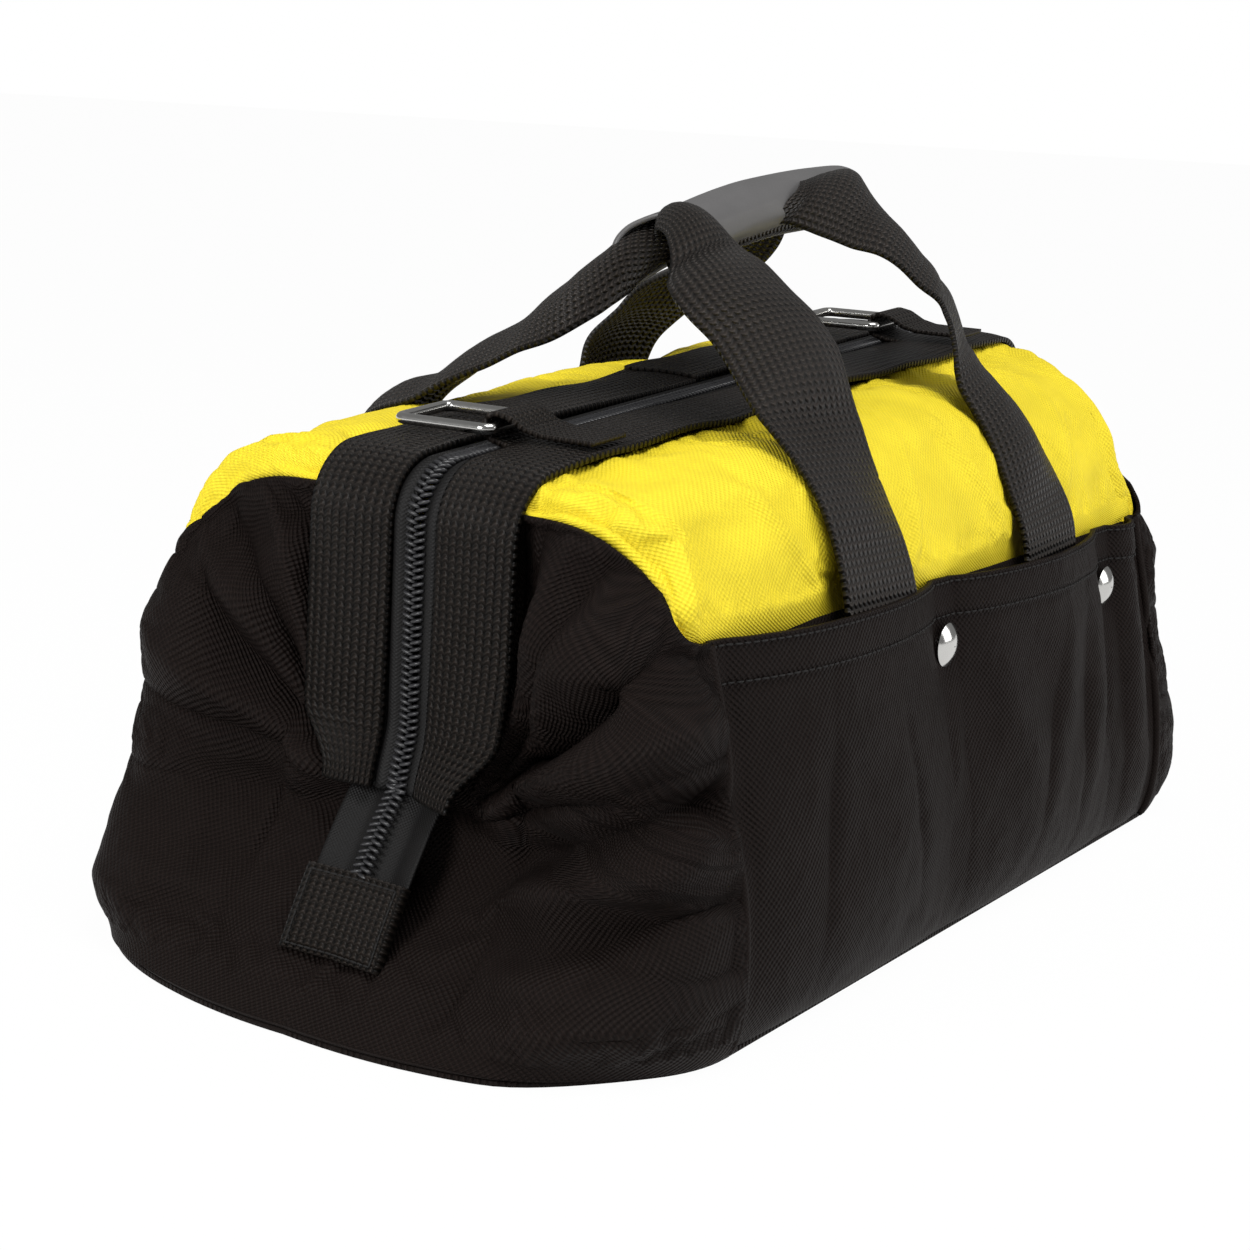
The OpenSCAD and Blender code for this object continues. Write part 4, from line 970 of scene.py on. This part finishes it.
# --- Handles --------------------------------------------------------------------------------
# Each handle is one length of wide webbing: its two legs are sewn down on the yellow panel,
# stand up over the mouth, curl lengthwise as they near the grip, and run doubled inside it.
# As on the strips, its colour holds painted highlights on the rib crests and painted shade in the grooves.
handle_webbing = webbing("black polypropylene webbing, handles", "#1f1b18", 2.5, 3.0, 1.5, gloss=0.32)
WEB_W = 47
# Each row is one step up a leg: the place of its left edge, then of its right edge, in millimetres
NEAR_FRONT = np.reshape([(-97.5, -100.5, 108, -50.5, -100.5, 108), (-97.4, -103.9, 118, -50.3, -104.2, 118),
                         (-97.2, -102.5, 126, -50, -102.3, 125.5), (-95.2, -97.8, 137.3, -48.3, -97.8, 134.7),
                         (-95.2, -90, 153.3, -48.5, -90, 149), (-93.8, -77.8, 166.5, -46.9, -80.7, 166.7),
                         (-93.6, -66.8, 177, -47.4, -73.6, 182.1), (-87.5, -55.3, 186, -43.5, -66.3, 194),
                         (-83.7, -44.2, 195.6, -41.4, -58, 202.2), (-83.2, -34.7, 202, -43.6, -49.4, 210),
                         (-80.3, -27, 207.9, -42.6, -38.2, 218.2), (-67.5, -18.5, 214.5, -36.1, -23.4, 223),
                         (-62, -14.5, 221.5, -37, -17.5, 227.5), (-57, -10, 226, -35, -12, 230),
                         (-52, -4, 227.5, -32, -6, 230.5), (-44, 0, 225, -26, -3, 229)], (-1, 2, 3))
NEAR_REAR = np.reshape([(41, -100, 108, 88, -98.5, 108), (41.5, -103.6, 118, 88.4, -102, 118.5),
                        (42.5, -101.8, 126, 89.5, -100.4, 127), (45, -93, 142.4, 91, -90, 145),
                        (45, -82, 162.5, 88, -76, 163.8), (40, -74, 178.3, 83, -60, 179.3),
                        (41, -70, 191.5, 83.5, -54, 189.9), (46.9, -64, 199.8, 89, -48, 198.5),
                        (54, -56.6, 205.9, 96.9, -39.9, 206.7), (51.6, -50.2, 210.7, 94, -32.7, 214.4),
                        (47.9, -44.4, 216.4, 89.8, -25.9, 220.6), (43, -38.6, 220.3, 81.4, -19, 229.5),
                        (35.4, -30.3, 222.7, 74.7, -16, 240.3), (27.3, -21.3, 226.4, 66.2, -13.7, 247.6),
                        (20, -11, 230, 52, -9, 246), (12, -8, 231, 40, -7, 243)], (-1, 2, 3))
FAR_FRONT = np.reshape([(-98, 100, 108, -51, 100.5, 108), (-97.6, 103.6, 118.5, -50.7, 104, 118),
                        (-97, 97.5, 136, -50, 98.5, 136), (-94, 90, 151, -47, 91, 151),
                        (-90, 86, 158, -46, 87, 161), (-90, 67, 167, -44, 71, 174),
                        (-88, 56, 173, -43, 62, 182), (-83, 41, 180, -39, 50, 194),
                        (-80, 30, 186, -38, 41, 204), (-76, 21, 190, -36, 30, 212),
                        (-72, 13, 196, -37, 20, 220), (-63, 8, 202, -36, 12, 227), (-50, 7, 210, -29, 8, 230),
                        (-36, 6, 218, -16, 7, 231)], (-1, 2, 3))
FAR_REAR = np.reshape([(41, 100.5, 108, 88, 99, 108), (41.5, 104, 118, 88.3, 102.4, 118.5),
                       (42, 100, 135, 89, 99, 135), (43, 93.5, 150, 90, 92.5, 150),
                       (42, 84.5, 166, 88, 84, 166), (40, 79, 180, 84, 75, 180), (42, 69, 191, 85, 62, 191),
                       (43, 62, 199, 85, 52, 200), (41, 50, 205, 84, 36, 207), (38, 36, 209, 79, 24, 215),
                       (31, 24, 215, 71, 15, 226), (24, 14, 223, 59, 10, 237), (18, 9, 228, 46, 8, 240),
                       (12, 8, 230, 38, 7, 240)], (-1, 2, 3))
ACROSS, ALONG = 15, 120


def smooth_row(points, n):
    """Points along a smooth curve through a few given ones, evenly spaced."""
    s = lengths(points, 0)
    at = np.linspace(0, s[-1], n)
    m = np.gradient(points, s, axis=0)
    k = np.clip(np.searchsorted(s, at, side="right") - 1, 0, len(s) - 2)
    h = (s[k + 1] - s[k])[:, None]
    t = ((at - s[k]) / (s[k + 1] - s[k]))[:, None]
    return ((2 * t ** 3 - 3 * t ** 2 + 1) * points[k] + (t ** 3 - 2 * t ** 2 + t) * h * m[k]
            + (-2 * t ** 3 + 3 * t ** 2) * points[k + 1] + (t ** 3 - t ** 2) * h * m[k + 1])


def leg_grid(rows, side, seed):
    """A leg's webbing between its two edges. Where they come closer than its width, it curls."""
    left, right = (smooth_row(rows[:, k], ALONG) for k in (0, 1))
    w = np.linspace(0, 1, ACROSS)[None, :, None]
    p = left[:, None] * (1 - w) + right[:, None] * w
    n = normals(p)
    n = n * (np.sign(n[:20, :, 1].mean()) * side)
    chord = np.linalg.norm(right - left, axis=1)
    curl = np.sqrt(np.clip(3 * chord * (WEB_W - chord) / 8, 0, None))
    curl = np.minimum(curl, 6.5)
    for _ in range(6):
        curl[1:-1] = (curl[:-2] + 2 * curl[1:-1] + curl[2:]) / 4
    shape = 1 - (2 * w[..., 0] - 1) ** 2
    lifted = ease(np.linspace(0, 1, ALONG) * 6 - 1.2)[:, None]
    d = curl[:, None] * shape + (1.1 * ripple(p, 30, seed) + 0.3 * ripple(p, 9, seed)) * lifted
    p = p + n * d[..., None]
    run = lengths(p[:, ACROSS // 2], 0)
    return p, (np.repeat(run[:, None], ACROSS, 1), np.repeat(w[..., 0] * WEB_W, ALONG, 0))


GRIP_FROM, GRIP_TO, GRIP_ARCH = np.array([-66, 3, 214]), np.array([76, -4, 239]), 6.5


def grip_line(t):
    t = np.asarray(t, float)[..., None]
    return GRIP_FROM * (1 - t) + GRIP_TO * t + np.array([0, 0, 1]) * GRIP_ARCH * 4 * t * (1 - t)


def over_fold(piece, word, slot, *nodes):
    """Hands the piece to bends with its handle and two points on the line where the handle folds down, which
    hides the CAD nodes it stands in for.
    """
    side = -1 if word == "near" else 1
    bends(piece, "handle_" + word, slot, (0, side * 0.1045, 0.138), (0, side * 0.094, 0.158), *nodes)


legs = {}
for word, side, front, rear in (("near", -1, NEAR_FRONT, NEAR_REAR), ("far", 1, FAR_FRONT, FAR_REAR)):
    grids, maps = [], []
    for where, rows, seed in (("front", front, 3), ("rear", rear, 6)):
        p, uv = leg_grid(rows, side, seed + side)
        legs[word, where] = p
        grids.append(p)
        maps.append(uv)
    # Doubled webbing inside the grip
    t = np.linspace(0.2, 0.88, 50)
    core = grip_line(t) + np.array([0, side * 4.6, -1])
    a = np.linspace(0, 2 * np.pi, 25)
    halves = (3.4, np.cos(a)), (7.2, np.sin(a))
    ring = np.stack([0 * a] + [half * np.sign(v) * np.abs(v) ** 0.6 for half, v in halves], -1)
    grids.append(core[:, None] + ring[None])
    run = lengths(core, 0)
    maps.append((np.repeat(run[:, None], 25, 1), np.repeat(a[None] * 6, 50, 0)))
    strap = sheet_mesh("handle_webbing_" + word, grids, handle_webbing, thick=1.8,
                       inward=side < 0, uv=maps)
    over_fold(strap, word, "webbing", "handle_" + word, "leg_%s_front" % word, "leg_%s_rear" % word)


# --- Grip wrap ------------------------------------------------------------------------------
# One strip of coated leather is folded round both handles' webbing. Its long edges hang open
# along the underside with a stitched hem, and its ends flare where the legs come in.
coated = moulded("coated leather, satin black", "#5c5b5b", 0.42, grain=0.05, size=1300.0)
ROUND, WRAP_N = 61, 90
turn_a = np.linspace(-160, 160, ROUND)
near = ease(np.clip(-turn_a / 80, 0, 1))
far = ease(np.clip(turn_a / 80, 0, 1))
start = 0.16 + 0.07 * near - 0.05 * far
stop = 0.985 - 0.13 * near * ease((-turn_a - 60) / 70)
t = start[None] + (stop - start)[None] * np.linspace(0, 1, WRAP_N)[:, None]
core = grip_line(t)
flare = 1 + 0.16 * hump(t, 0.1, 0.1) + 0.1 * hump(t, 1, 0.1)
angle = np.radians(turn_a)[None]
crumple = np.array([[noise.noise(Vector((a * 6, b * 2.2, 4.1))) for b in angle[0]] for a in t[:, 0]])
half_y, half_z = 11.8 * flare + 0.5 * crumple, 10.4 * flare + 0.4 * crumple
p = core + np.stack([0 * t, np.sin(angle) * half_y,
                     np.cos(angle) * half_z + 0 * t], -1)
hem = hump(np.abs(turn_a), 152, 7)[None]
p[..., 2] -= 1.2 * hem
grip = p
wrap = sheet_mesh("grip_leather", [p], coated, thick=1.8, inward=True)
fixed_to("handle_near", wrap, "grip_wrap")


# --- Stitching ------------------------------------------------------------------------------
# Thick lockstitches hold the hems, the strips and the handles: each is a short rounded bar
# of thread, sunk a little at its ends.
stitch_shape = small_shape("stitch", 2.5, 0.62, 0.5, bend=0.12)


def stitched(name, lines, outs, step=3.3):
    """Stitches every step millimetres along lines of points, each standing towards out."""
    spots, along, out = [], [], []
    for line, o in zip(lines, outs):
        s = lengths(line, 0)
        at = np.arange(step / 2, s[-1], step)
        before, point, after = (at_length(line, s, at + off) for off in (-1, 0, 1))
        face = at_length(o, s, at)
        spots.append(point + 0.1 * face)
        along.append(after - before)
        out.append(face)
    turns = facing(np.concatenate(along), np.concatenate(out))
    return repeated(name, np.concatenate(spots), turns, stitch_shape, thread)


for word, way in (("near", (0, -1, 0)), ("far", (0, 1, 0))):
    n = out_of(pockets[word], way)
    hem = stitched("hem_stitches_" + word, [pockets[word][:, 68], pockets[word][:, 81]],
                   [n[:, 68], n[:, 81]])
    fixed_to("bag", hem)
for end, side, word, where in CORNERS:
    p = strips[end, side]
    n = out_of(p, (0, 0, 1))
    seam = stitched("strip_stitches_%s_%s" % (word, where), [p[2:-2, 1], p[2:-2, 14]],
                    [n[2:-2, 1], n[2:-2, 14]])
    across_mouth(seam, end, side, "webbing")
n = out_of(grip, grip - core)
lips = stitched("grip_stitches", [grip[3:-3, 3], grip[3:-3, -4]], [n[3:-3, 3], n[3:-3, -4]], step=3.6)
fixed_to("handle_near", lips)
for word, p in edged.items():
    way = (-1 if word == "front" else 1, 0, 0.3)
    n = out_of(p, way)
    border = stitched("tab_stitches_" + word, [p[3:37, 1], p[3:37, 17], p[3, 1:18], p[37, 1:18]],
                      [n[3:37, 1], n[3:37, 17], n[3, 1:18], n[37, 1:18]], step=2.6)
    fixed_to("tail_" + word, border)
for (word, where), p in legs.items():
    n = out_of(p[:30], (0, -1 if word == "near" else 1, 0))
    left, right, top, foot = p[2:26, 1], p[2:26, 13], p[25, 1:14], p[3, 1:14]
    cross_a = np.stack([p[3 + k, 1 + round(k * 12 / 22)] for k in range(23)])
    cross_b = np.stack([p[3 + k, 13 - round(k * 12 / 22)] for k in range(23)])
    face = np.tile(n[12, 7], (60, 1))
    box = stitched("leg_stitches_%s_%s" % (word, where), [left, right, top, foot, cross_a, cross_b],
                   [face[:24], face[:24], face[:13], face[:13], face[:23], face[:23]], step=3.0)
    over_fold(box, word, "webbing")
